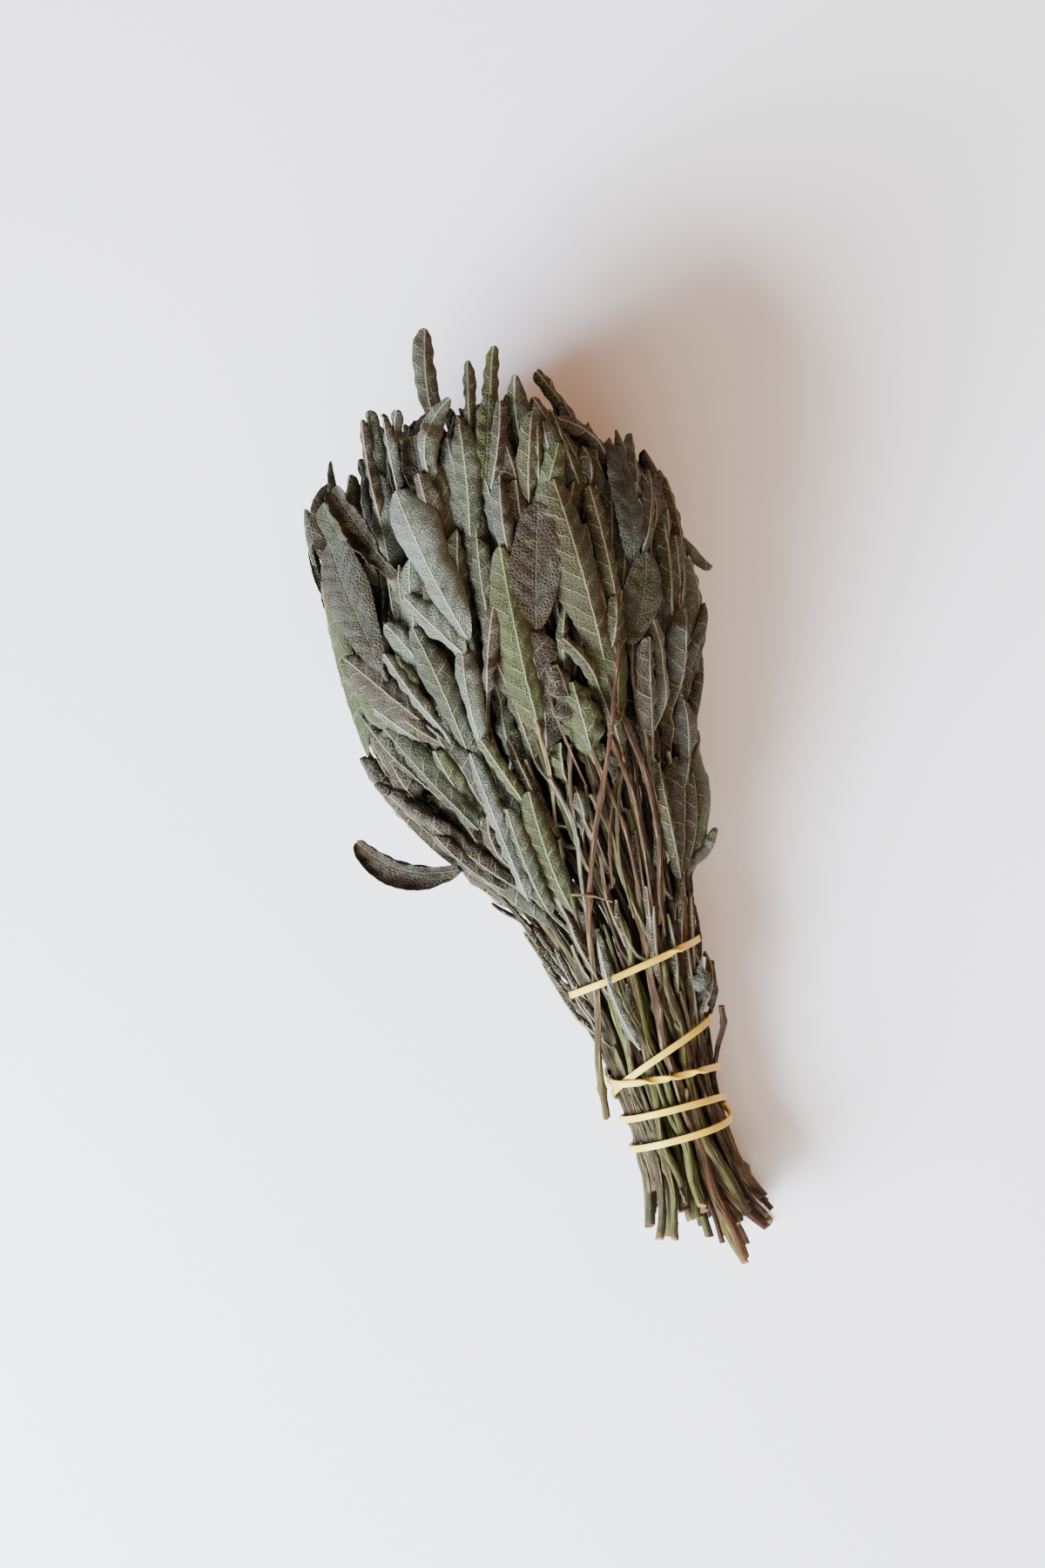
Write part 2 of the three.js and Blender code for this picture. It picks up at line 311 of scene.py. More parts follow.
def make_piece(name, surface, material, node, sharp_angle=math.radians(60)):
    """Puts a surface into a mesh object that stands for a node of the frame."""
    if not np.isfinite(surface.points).all():
        raise ValueError(f"{name} has points that are not numbers")
    mesh = bpy.data.meshes.new(name)
    count, corner_count = len(surface.faces), surface.faces.size
    points = pressed_on_table(surface.points) * MM
    mesh.vertices.add(len(points))
    mesh.vertices.foreach_set("co", points.astype(np.float32).ravel())
    mesh.loops.add(corner_count)
    mesh.loops.foreach_set("vertex_index", surface.faces.astype(np.int32).ravel())
    mesh.polygons.add(count)
    mesh.polygons.foreach_set("loop_start", np.arange(0, corner_count, 4, dtype=np.int32))
    mesh.polygons.foreach_set("loop_total", np.full(count, 4, np.int32))
    mesh.update(calc_edges=True)
    places = mesh.uv_layers.new(name="surface_mm").data
    places.foreach_set("uv", surface.corners.astype(np.float32).ravel())
    for key, value in surface.values.items():
        if value.ndim == 1:
            layer = mesh.attributes.new(key, "FLOAT", "POINT")
            layer.data.foreach_set("value", value.astype(np.float32))
        else:
            colour = np.concatenate([value, np.ones((len(value), 1))], 1)
            layer = mesh.attributes.new(key, "FLOAT_COLOR", "POINT")
            layer.data.foreach_set("color", colour.astype(np.float32).ravel())
    mesh.shade_smooth()
    mesh.set_sharp_from_angle(angle=sharp_angle)
    mesh.materials.append(material)
    piece = bpy.data.objects.new(name, mesh)
    bpy.context.scene.collection.objects.link(piece)
    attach(piece, "root")
    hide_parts(node)


def tube_faces(rows, sides):
    """Quads of a tube: rows of points, each row closed round."""
    i = np.arange(rows - 1)[:, None] * sides
    j = np.arange(sides)[None, :]
    k = (j + 1) % sides
    return np.stack([i + j, i + k, i + k + sides, i + j + sides], -1).reshape(-1, 4)


def tube(centres, radii, side_dirs, over_dirs, sides, square, phase):
    """The points of a tube. Each row is a ring round its centre whose radius is the row's radius
    times 1 + square * cos(4 * (angle + phase)), so that a positive square makes it
    four-cornered."""
    turn = np.arange(sides) / sides * 2 * np.pi
    ring = 1 + square * np.cos(4 * (turn + phase))
    shape = (side_dirs[:, None, :] * np.cos(turn)[None, :, None]
             + over_dirs[:, None, :] * np.sin(turn)[None, :, None])
    return centres[:, None, :] + shape * (radii[:, None] * ring[None, :])[..., None]


# ---- Leaves ----

PETIOLE_ROWS = 7
TIP_CROWDING = 0.92      # power that sets the rows of a blade a little closer at its tip
EDGE_CROWDING = 0.9      # and its columns at the edges
OUTLINE_RISE = 0.62      # power of the outline near the base
CURL_POWER = 1.7         # that keeps the curl to the outer part of each half
# In mm:
PETIOLE_RADIUS = 0.62
LATERAL_SPACING = 4.4    # between side veins
LATERAL_SLANT = 0.8      # along for each mm away from the midrib
QUILTING = 0.22          # that the blade bulges between side veins
SCALLOP_LENGTH = 2.1     # from notch to notch at the edge
MIDRIB_RELIEF = 0.42     # under the blade
PEBBLES = (2.7, 3.3, 3.9)


class LeafShape(NamedTuple):
    """How one leaf lies. Lengths are in mm and angles in degrees."""
    stem: np.ndarray          # where it grows from its stem
    stem_direction: np.ndarray
    base: np.ndarray          # where its blade starts
    tip: np.ndarray
    outwards: np.ndarray      # the way its outer face looks
    width: float
    tone: str = "sage"
    under: bool = True        # its underside looks outwards
    roll: float = 0.0         # turned about its own length
    twist: float = 0.0        # and how much further at the tip than at the base
    curl: tuple = (60, 60)    # that each edge turns towards the upper side, left and right
    fold: float = 12.0        # of each half along the midrib
    bulge: float = 3.0        # the middle stands out from the line between base and tip
    sway: float = 0.0         # and to the side
    tip_curl: float = 0.0     # the tip turns outwards
    crumple: float = 0.5
    brown: float = 0.2        # how dead its edges are, and how much painted shade darkens them
    shade: float = 1.0        # its tones are multiplied by this; for a grown leaf it is painted shade, lower the deeper its ring lies
    rows: int = 34
    columns: int = 15
    blunt: float = 0.5        # of the tip: the smaller the blunter
    seed: int = 0
    raised: bool = False      # it is lifted straight up off the heap, not outwards


def leaf_outline(t, blunt):
    """Half width of a blade as a share of its greatest: t to the power OUTLINE_RISE times (1 - t)
    to the blunt power, divided by its own greatest value."""
    top = OUTLINE_RISE / (OUTLINE_RISE + blunt)
    return (t / top) ** OUTLINE_RISE * ((1 - t) / (1 - top)) ** blunt


def waves(q, s, rng, lengths, ridged=False):
    """A sum of straight waves in random directions, each of its own length in mm, from about -1
    to 1. A ridged wave is creased along its crests: 1 - 2 * |sine|."""
    total = np.zeros_like(q)
    for length in lengths:
        heading, phase = rng.uniform(0, np.pi), rng.uniform(0, 2 * np.pi)
        wave = np.sin(2 * np.pi * (q * np.cos(heading) + s * np.sin(heading)) / length + phase)
        total += 1 - 2 * np.abs(wave) if ridged else wave
    return total / len(lengths)


def leaf_surface(leaf, thickness, heap):
    """A dried leaf as a thin closed shell, laid on top of the heap if there is one.

    Its spine is a cubic from the stem to the blade's base, the petiole, and then a line to the
    tip with a parabola's bulge and sway and a cubic's curl at the tip. Across the spine, the
    tangent's angle grows from the fold at the midrib by the curl times the share of the half
    width to the power CURL_POWER, and is summed up to the section's outline. The surface is then
    moved along its own normal by the quilting between the side veins, waves of crumpling and
    ripples at the edge. The underside carries a thick round midrib, which goes on as the
    petiole."""
    rng = np.random.default_rng(leaf.seed)
    rows, columns = leaf.rows, leaf.columns
    blade = leaf.tip - leaf.base
    length = np.linalg.norm(blade)
    ahead = blade / length
    out = unit(leaf.outwards - ahead * np.dot(leaf.outwards, ahead))
    aside = np.cross(ahead, out)

    t = np.linspace(0, 1, rows) ** TIP_CROWDING
    arch = 4 * t * (1 - t)
    spine = (leaf.base + np.outer(t, blade)
             + np.outer(arch * leaf.bulge + leaf.tip_curl * t ** 4, out)
             + np.outer(arch * leaf.sway, aside))
    start = leaf.base - leaf.stem
    reach = max(np.linalg.norm(start), 1e-3)
    first = unit(spine[1] - spine[0])
    p = np.linspace(0, 1, PETIOLE_ROWS + 1)[:-1, None]
    petiole = ((2 * p ** 3 - 3 * p ** 2 + 1) * leaf.stem
               + (p ** 3 - 2 * p ** 2 + p) * leaf.stem_direction * reach
               + (3 * p ** 2 - 2 * p ** 3) * leaf.base + (p ** 3 - p ** 2) * first * reach)
    spine = np.concatenate([petiole, spine])
    t = np.concatenate([np.zeros(PETIOLE_ROWS), t])

    tangent = unit(np.gradient(spine, axis=0))
    normal = unit(out - tangent * (tangent @ out)[:, None])
    side = np.cross(tangent, normal)
    turn = np.radians(leaf.roll + leaf.twist * (t - 0.35))[:, None]
    facing = -1 if leaf.under else 1
    normal, side = (facing * (normal * np.cos(turn) + side * np.sin(turn)),
                    facing * (side * np.cos(turn) - normal * np.sin(turn)))
    run = np.concatenate([[0], np.cumsum(np.linalg.norm(np.diff(spine, axis=0), axis=1))])
    run = run - run[PETIOLE_ROWS]

    half = leaf_outline(np.clip(t, 1e-3, 1 - 1e-3), leaf.blunt) * leaf.width / 2
    half = half * (1 + 0.05 * (np.sin(run / length * 5 + rng.uniform(0, 6))
                               + np.sin(run / length * 11 + rng.uniform(0, 6))))
    half = np.hypot(half * (t > 0), PETIOLE_RADIUS * (1 - 0.75 * t))
    v = np.linspace(-1, 1, columns)
    v = np.sign(v) * np.abs(v) ** EDGE_CROWDING
    notches = np.sin(2 * np.pi * run / SCALLOP_LENGTH + rng.uniform(0, 6))[:, None]
    scallop = 0.014 * notches * np.abs(v) ** 6
    q = half[:, None] * v * (1 + scallop * (t > 0.08)[:, None])

    grown = np.clip(t * 5, 0, 1) ** 2 * (3 - 2 * np.clip(t * 5, 0, 1))
    uneven = 1 + 0.35 * np.interp(t, np.linspace(0, 1, 5), rng.uniform(-1, 1, 5))
    curl = np.radians(np.where(v < 0, leaf.curl[0], leaf.curl[1]))
    angle = (np.radians(leaf.fold) * (1 - np.exp(-np.abs(q) / 0.8)) * grown[:, None]
             + curl * np.abs(v) ** CURL_POWER * (grown * uneven)[:, None])
    middle = columns // 2
    step = np.abs(np.diff(q, axis=1))
    between = (angle[:, 1:] + angle[:, :-1]) / 2
    flat, rise = step * np.cos(between), step * np.sin(between)
    across, height = np.zeros_like(q), np.zeros_like(q)
    across[:, middle + 1:] = np.cumsum(flat[:, middle:], axis=1)
    across[:, :middle] = -np.cumsum(flat[:, :middle][:, ::-1], axis=1)[:, ::-1]
    height[:, middle + 1:] = np.cumsum(rise[:, middle:], axis=1)
    height[:, :middle] = np.cumsum(rise[:, :middle][:, ::-1], axis=1)[:, ::-1]
    surface = (spine[:, None] + side[:, None] * across[..., None]
               + normal[:, None] * height[..., None])

    s = np.broadcast_to(run[:, None], q.shape)
    shift = np.where(v > 0, LATERAL_SPACING / 2, 0)
    vein = (s - LATERAL_SLANT * np.abs(q) + shift) / LATERAL_SPACING
    wide = np.clip(np.abs(q) / 1.5, 0, 1)
    inner = 1 - 0.85 * v ** 2
    moved = grown[:, None] * (QUILTING * wide * inner * np.cos(2 * np.pi * vein + np.pi)
                              + leaf.crumple * wide ** 0.5 * 0.5 * waves(q, s, rng, (9, 13, 17))
                              + leaf.crumple * wide * 0.35 * waves(q, s, rng, (9, 13), True)
                              + 0.10 * wide * inner * waves(q, s, rng, PEBBLES)
                              + 0.35 * leaf.crumple * np.abs(v) ** 3
                              * waves(q * 0, s, rng, (8, 12)))
    surface = surface + sheet_normals(surface) * moved[..., None]
    if heap is not None:
        hold = np.clip(run / 7 + 0.25, 0, 1) * np.clip(t * 40, 0, 1)
        surface = heap.lay(surface, v, hold, leaf.raised)
    normals = sheet_normals(surface)

    skin = thickness * (0.6 + 0.4 * (1 - np.abs(v) ** 4))
    rib = (1.15 - 0.95 * t)[:, None] * np.exp(-(q / (0.35 + 0.25 * (1 - t))[:, None]) ** 2)
    upper = surface + normals * (skin / 2 + 0.3 * rib * (1 - grown)[:, None])[..., None]
    lower = surface - normals * (skin / 2 + MIDRIB_RELIEF * rib)[..., None]

    upper_tone, under_tone = (np.array(linear(code)) for code in LEAF_TONES[leaf.tone])
    # Painted shade: the leaf's shade darkens leaves that lie deep in the bunch, times a tone that
    # differs at random.
    shade = leaf.shade * (1 + 0.10 * waves(q, s, rng, (9, 14, 21)) + 0.12 * rng.uniform(-1, 1))
    # Dead, browned edges and tip: partly real browning, partly painted shade that darkens the rims
    # beside the gaps between leaves.
    browned_and_shaded_edges = np.clip(leaf.brown * (0.35 + 1.1 * np.abs(v) ** 2 + 0.5 * waves(q, s, rng, (6, 10, 15))
                                 + 0.9 * np.clip(t * 1.6 - 0.8, 0, 1)[:, None]), 0, 1)
    brown = np.array(linear(DEAD_AND_SHADED_EDGE))
    tints = [(tone * shade[..., None]) * (1 - browned_and_shaded_edges[..., None]) + brown * browned_and_shaded_edges[..., None]
             for tone in (upper_tone, under_tone)]
    return shell(upper, lower, q, s, tints)


class Heap:
    """How far out the leaves that are already laid reach, in cells round the bunch and along
    it."""

    ROUND, ALONG = 170, 170  # cells
    STEP, START = 1.5, -12.0  # mm from cell to cell along the bunch, and where the first one is
    CLEARANCE = 0.60         # mm from one leaf's middle sheet to the next one's
    MOST = 8.0               # mm that a leaf is lifted
    LIMIT = 1.09             # level of the shell that the heap ends at

    def __init__(self):
        self.reach = np.zeros((self.ROUND, self.ALONG))

    def cells(self, angle, along):
        """The cells that points lie in."""
        i = np.floor(angle / (2 * np.pi) * self.ROUND).astype(int) % self.ROUND
        j = np.clip(((along - self.START) / self.STEP).astype(int), 0, self.ALONG - 1)
        return i, j

    def level_at(self, across, along, least):
        """The level of the shell that the heap reaches to on its upper side, but at least least."""
        level = least
        half_height = float(section_at(min(along, TAPER_START))[3])
        for _ in range(3):
            _, angle = upper_point(across, along, level)
            reach = float(self.reach[self.cells(angle, np.asarray(along))])
            level = max(least, reach / half_height)
        return min(level, self.LIMIT)

    def lay(self, sheet, v, hold, raised):
        """Moves each row of a sheet out by what it lacks to clear the heap, where v is -1 and 1
        at the sheet's edges, which may sink in. Hold is 0 for a row that stays. The sheet is
        then part of the heap."""
        out, angle, along, move = out_and_angle(sheet)
        if raised:
            move = np.array([0.0, 0.0, 1.0]) / np.maximum(np.sin(angle), 0.45)[..., None]
        lack = (self.reach[self.cells(angle, along)] + self.CLEARANCE - out) * (1 - 0.6 * v ** 2)
        room = self.LIMIT * section_at(np.minimum(along, TAPER_START))[3] - out
        lack = np.clip(np.minimum(lack, room), 0, self.MOST)
        halves = [lack[:, v <= 0.1].max(1), lack[:, v >= -0.1].max(1)]
        rows = []
        for half in halves:
            padded = np.pad(half, 2, mode="edge")
            wide = np.max([padded[k:k + len(half)] for k in range(5)], 0)
            rows.append(np.convolve(np.pad(wide, 3, mode="edge"), np.ones(7) / 7, "valid") * hold)
        more = np.maximum(*rows)
        left, right = (more * 0.6 + row * 0.4 for row in rows)
        lift = left[:, None] * (1 - v) / 2 + right[:, None] * (1 + v) / 2
        laid = sheet + move * lift[..., None]
        out, angle, along, _ = out_and_angle(laid)
        np.maximum.at(self.reach, self.cells(angle, along), out)
        return laid


def sheet_normals(points):
    """Unit normals of a grid of points: the change across times the change along."""
    return unit(np.cross(np.gradient(points, axis=1), np.gradient(points, axis=0)))


def shell(upper, lower, q, s, tints):
    """A closed shell of two grids of the same size, joined round their rim. The surface's own
    coordinates are q and s on both."""
    rows, columns = q.shape
    index = np.arange(rows * columns).reshape(rows, columns)
    quads = np.stack([index[:-1, :-1], index[:-1, 1:], index[1:, 1:], index[1:, :-1]], -1)
    quads = quads.reshape(-1, 4)
    total = rows * columns
    rim = np.concatenate([index[0, :-1], index[:-1, -1], index[-1, :0:-1], index[:0:-1, 0]])
    after = np.roll(rim, -1)
    wall = np.stack([rim + total, after + total, after, rim], -1)
    faces = np.concatenate([quads, quads[:, ::-1] + total, wall])
    spots = np.stack([q.ravel(), s.ravel()], -1)
    corners = np.concatenate([spots, spots])[faces].reshape(-1, 2)
    values = {
        "tint": np.concatenate([tint.reshape(-1, 3) for tint in tints]),
        "upper": np.concatenate([np.ones(total), np.zeros(total)]),
    }
    points = np.concatenate([upper.reshape(-1, 3), lower.reshape(-1, 3)])
    return Surface(points, faces, corners, values)


# ---- Stems ----

class Sprig(NamedTuple):
    """One sprig: its stem's place in the bunch and where its leaves are."""
    name: str
    number: int
    ring: Ring
    angle: float
    cut: float
    top: float
    first_leaf: float


def sprigs():
    """Every sprig of the rings, as the frame's solids have them."""
    found = []
    for ring_index, ring in enumerate(RINGS):
        spacing = 2 * math.pi / ring.count
        outermost = ring_index == len(RINGS) - 1
        for i in range(ring.count):
            number = ring_index * 30 + i
            angle = FRONT_ANGLE + spacing * (i + 0.5 if outermost else i)
            delay = OPEN_SIDE_DELAY * openness(angle) * ring.share
            found.append(Sprig(
                f"{ring.name}_sprig_{i + 1:02d}", number, ring, angle,
                LOWEST_CUT + CUT_SPREAD * chance(number, 1),
                ring.top - TOP_SPREAD * chance(number, 2),
                ring.first_leaf + delay + FIRST_LEAF_SPREAD * chance(number, 3)))
    return found


def stem_point(sprig, along):
    """The stem's centre: its place in its ring, with slow waves of its own that go sideways and
    inwards, so that it stays under the bands, and a splay near its cut end."""
    along = np.asarray(along, float)
    seeds = [6.28 * chance(sprig.number, purpose) for purpose in (4, 5, 11, 12)]
    turn = 2 * np.pi * along / WANDER_LENGTH
    bare = np.clip((120 - along) / 40, 0, 1)
    sideways = (WANDER * np.sin(turn + seeds[0]) + bare * 0.9 * np.sin(turn * 1.6 + seeds[1])
                + bare * 0.3 * np.sin(turn * 4.1 + seeds[2]))
    inwards = (0.35 + bare * 0.6 * (1 + np.sin(turn * 1.3 + seeds[3]))
               + max(0.0, stem_width(sprig) - 1) * 0.9)
    splay = np.clip((14 - along) / 16, 0, 1) ** 1.6
    out = -inwards + splay * (4.4 * chance(sprig.number, 13) - 0.8)
    sideways = sideways + splay * 4.0 * (chance(sprig.number, 14) - 0.5)
    _, _, half_width, half_height = section_at(along)
    point = place(sprig.ring.share + out / half_height,
                  sprig.angle + sideways / (half_width * max(sprig.ring.share, 0.3)), along)
    rightwards = sprig.ring.share * math.cos(sprig.angle)
    spread = rightwards * (END_SPREAD_RIGHT if rightwards > 0 else END_SPREAD_LEFT)
    point[..., 0] += spread * np.clip((16 - along) / 18, 0, 1.2) ** 1.5
    return point


def stem_width(sprig):
    """How thick a sprig's stem is, as a share of the usual."""
    return 0.58 + 0.6 * chance(sprig.number, 15)


STEM_SIDES = 14
TONE_CHANGE = 90.0  # mm over which a stem's lower tone turns to its upper one


def stem_surface(centres, radius, tones, seed, node_places, change=TONE_CHANGE):
    """A square stem along a row of centres. Its radius shrinks evenly towards the tip, swells in
    a bell curve at each node, and is fluted by sines of the angle round it that drift along it.
    The cut end is a flat slanting disc and the tip a small cap. Its tint goes from the first tone
    to the second over the change, sooner here and later there."""
    rng = np.random.default_rng(seed)
    sides = STEM_SIDES
    tangent = unit(np.gradient(centres, axis=0))
    side = unit(np.cross(tangent, np.array([0.0, 0.0, 1.0])))
    over = np.cross(side, tangent)
    run = np.concatenate([[0], np.cumsum(np.linalg.norm(np.diff(centres, axis=0), axis=1))])
    share = run / run[-1]
    radii = radius * (1 - 0.45 * share) * (1 + 0.07 * np.sin(run / 2.3 + rng.uniform(0, 6)))
    for spot in node_places:
        swelling = rng.uniform(0.25, 0.6)
        radii = radii * (1 + swelling * np.exp(-((run - spot) / rng.uniform(0.7, 1.3)) ** 2))
    body = tube(centres, radii, side, over, sides, square=0.07, phase=rng.uniform(0, 1.5))
    around = np.arange(sides)[None, :] * 2 * np.pi / sides
    flutes = (1 + 0.07 * np.sin(around * 3 + seed + run[:, None] / 19)
              + 0.06 * np.sin(around * 5 + run[:, None] / 7)
              + 0.07 * np.sin(around * 2 - run[:, None] / 3.7 + seed) * np.sin(run[:, None] / 5.3))
    body = centres[:, None] + (body - centres[:, None]) * flutes[..., None]
    slant = (tangent[0] * 0.35 + side[0] * rng.uniform(-0.5, 0.5)
             + over[0] * rng.uniform(-0.5, 0.5))
    lean = (body[0] - centres[0]) @ slant
    body[0] -= tangent[0] * lean[:, None]
    rings = [centres[0] + (body[0] - centres[0]) * k for k in (0.02, 0.5, 0.86)]
    rings[0] = rings[0] + tangent[0] * 0.12
    end = [centres[-1] + (body[-1] - centres[-1]) * k + tangent[-1] * radii[-1] * d
           for k, d in ((0.7, 0.35), (0.02, 0.5))]
    points = np.concatenate([np.array(rings), body, np.array(end)])
    rows = len(points)
    around = np.arange(sides) / sides * 2 * np.pi * radius
    run_all = np.concatenate([[-3, -2, -1], run, run[-1] + np.array([0.5, 1.0])])
    spots = np.stack(np.broadcast_arrays(around[None, :], run_all[:, None]), -1).reshape(-1, 2)

    def uneven(places):
        """A random line from -1 to 1 along the stem, with a few places set at random."""
        return np.interp(run_all, np.linspace(0, run[-1], places), rng.uniform(-1, 1, places))

    shade = rng.uniform(0.75, 1.25) + 0.25 * uneven(13)
    lower, upper = (np.array(linear(code)) for code in tones)
    rise = np.clip(run_all / change - 0.3 + 0.5 * uneven(9), 0, 1)
    tone = lower * (1 - rise[:, None]) + upper * rise[:, None]
    tints = np.repeat((tone * shade[:, None])[:, None], sides, 1)
    cut = np.zeros((rows, sides))
    cut[:3] = 1
    cut[3] = 0.6
    first_cap = np.array([[0, k, k + 1, k + 2] for k in range(1, sides - 2, 2)])
    last_cap = (first_cap + (rows - 1) * sides)[:, ::-1]
    faces = np.concatenate([tube_faces(rows, sides)[:, ::-1], first_cap, last_cap])
    return Surface(points.reshape(-1, 3), faces, spots[faces].reshape(-1, 2),
                   {"tint": tints.reshape(-1, 3), "cut": cut.ravel()})


class Twig(NamedTuple):
    """A petiole or side shoot that shows: places across and along, the shell's level, its radius
    in mm and its colour."""
    route: tuple
    radius: float
    colour: str


TWIGS = [Twig(*row) for row in (
    (((24.1, 50.2, 1.24), (23.5, 45.7, 1.2), (21.0, 41, 1.04), (18, 34, 0.88)), 0.8, "#332214"),
    (((-3, 85, 1.16), (1.5, 83.5, 1.19), (5.6, 81, 1.13)), 0.32, "#77603F"),
    (((4.4, 147, 0.95), (3.4, 138, 1.0), (3.6, 128, 1.02), (4.8, 118, 1.0),
     (6.5, 108, 0.95)), 0.5, "#46301F"),
    (((5.5, 118, 0.95), (2.5, 106, 1.0), (1.6, 94, 1.02), (3.5, 82, 0.98),
     (4.5, 70, 0.92)), 0.55, "#3F3320"),
    (((16.5, 112, 0.97), (12, 101, 1.02), (9.5, 89, 1.0), (9.5, 76, 0.93)), 0.5, "#4C4026"),
    (((21, 100, 0.97), (19, 90, 1.02), (16.5, 80, 1.0), (15.5, 70, 0.93)), 0.6, "#44301D"),
    (((-2.5, 98, 0.96), (-3.4, 88, 1.0), (-3.0, 76, 0.96), (-2, 66, 0.92)), 0.55, "#57523A"),
    (((-1, 112, 0.98), (1.5, 100, 1.02), (0, 87, 1.0), (-1.5, 74, 0.92)), 0.6, "#5E6150"),
    (((-0.8, 127, 1.0), (-0.6, 114, 0.96), (-2.5, 100, 0.9)), 0.6, "#6B5C40"),
    (((9, 124, 0.98), (10.5, 110, 1.02), (12.5, 96, 1.0), (12, 80, 0.93)), 0.7, "#48321F"),
    (((14.5, 118, 0.98), (16, 104, 1.02), (15.5, 90, 1.0), (14, 76, 0.93)), 0.6, "#553D28"),
    (((18, 122, 0.98), (20, 108, 1.02), (19.5, 94, 1.0), (17, 78, 0.93)), 0.75, "#422E1E"),
    (((17.6, 137, 1.03), (17.2, 127, 1.02), (18.2, 116, 0.96)), 0.6, "#523D29"),
    (((22.5, 118, 0.96), (21, 104, 1.0), (21.5, 92, 0.98)), 0.5, "#5A5239"),
    (((7, 106, 0.98), (9, 97, 1.0), (9, 86, 0.96), (11, 74, 0.93)), 0.6, "#514E2F"),
    (((25, 138, 1.0), (22.8, 128, 0.98), (21.5, 116, 0.95)), 0.5, "#45321F"),
    (((4, 101, 0.98), (5.5, 92, 1.02), (4.5, 82, 0.98), (6, 70, 0.92)), 0.5, "#655640"),
    (((13, 107, 0.97), (8.5, 95, 1.03), (6.5, 84, 0.99)), 0.42, "#4C3520"),
    (((-24, 96, 0.98), (-17, 85, 1.0), (-12, 72, 0.95), (-9, 58, 0.93)), 0.7, "#433A31"),
    (((-30, 104, 0.97), (-21, 92, 1.0), (-14, 79, 0.97)), 0.5, "#544A3D"),
)]


def twig_surface(twig, seed):
    """A thin stem through its places on the upper side."""
    centres = smooth_route([upper_point(*spot)[0] for spot in twig.route], 10 * len(twig.route))
    return stem_surface(centres, twig.radius, (twig.colour, twig.colour), seed, [4.0, 17.0, 29.0])


def shoots(sprig, rng):
    """Side shoots and stubs of a stem, where leaves were: short thin stems that bend away from it
    and then run along it."""
    made = []
    count = {"outer": 9, "middle": 3}.get(sprig.ring.name, 0)
    for start in rng.uniform(4, sprig.first_leaf - 8, count):
        length = rng.choice([rng.uniform(1.5, 4), rng.uniform(9, 30)], p=[0.35, 0.65])
        reach = rng.uniform(1.2, 3.4) * min(1.0, length / 8)
        root = stem_point(sprig, start)
        _, _, half_width, half_height = section_at(start + length)
        side = rng.choice([-1, 1]) * reach / half_width
        t = np.linspace(0, 1, max(4, int(length / 1.5)))
        on_stem = stem_point(sprig, start + length * t)
        beside = place(sprig.ring.share + rng.uniform(-0.8, 0.3) / half_height,
                       sprig.angle + side, start + length * t)
        share = (1 - (1 - t) ** 2)[:, None]
        centres = on_stem * (1 - share) + beside * share
        centres[0] = root
        colour = rng.choice(SHOOT_TONES)
        made.append(stem_surface(centres, rng.uniform(0.38, 0.8), (str(colour), str(colour)),
                                 int(rng.integers(1 << 20)), [length * 0.9]))
    return made


# ---- The bands ----

class Band(NamedTuple):
    """A rubber band's winding. Lengths are in mm and angles in radians."""
    turns: int
    along: float             # its middle, along the bunch
    slant: float             # how much further along it is at its right side than at its middle
    spread: float = 0.0      # that its two passes lie to each side of the middle
    crossing: float = 0.0    # the angle where the passes cross
    sharpness: float = 1.0   # of the crossing


BANDS = {
    "neck_band": Band(1, 64.3, 2.5),
    "crossed_band": Band(2, 40.4, 1.9, 6.3, math.radians(138), 0.4),
    "lower_band": Band(2, 26.6, 0.0, 3.6, math.radians(325), 2.2),
}
STEM_RADIUS = 0.8       # of a usual stem, under the bands, mm
BAND_GAP = 0.35         # mm
CROSSING_HALF_ANGLE = math.radians(21)
FRONT_HALF_ANGLE = math.radians(16)
BAND_STEPS = 220        # rings of a strip in one turn
BAND_SIDES = 16
BAND_SQUARENESS = 0.35  # power of the sine and cosine that give its section its round corners
BAND_HOLLOW = 0.06      # mm that the edges stand above the middle

# Where each strip turns over: the middle of the turn, in degrees, half its stretch and the number
# of half turns.
BAND_TWISTS = {
    "neck_band": [(50, 9, 1), (310, 20, -1)],
    "crossed_band": [(415, 12, 1), (444, 12, 1), (470, 12, 1), (660, 20, -3)],
    "lower_band": [],
}


def hump(angle, middle, half_angle, height):
    """A bell curve of a given height round one angle of the winding."""
    return height * np.exp(-((angle - middle) / half_angle) ** 2)


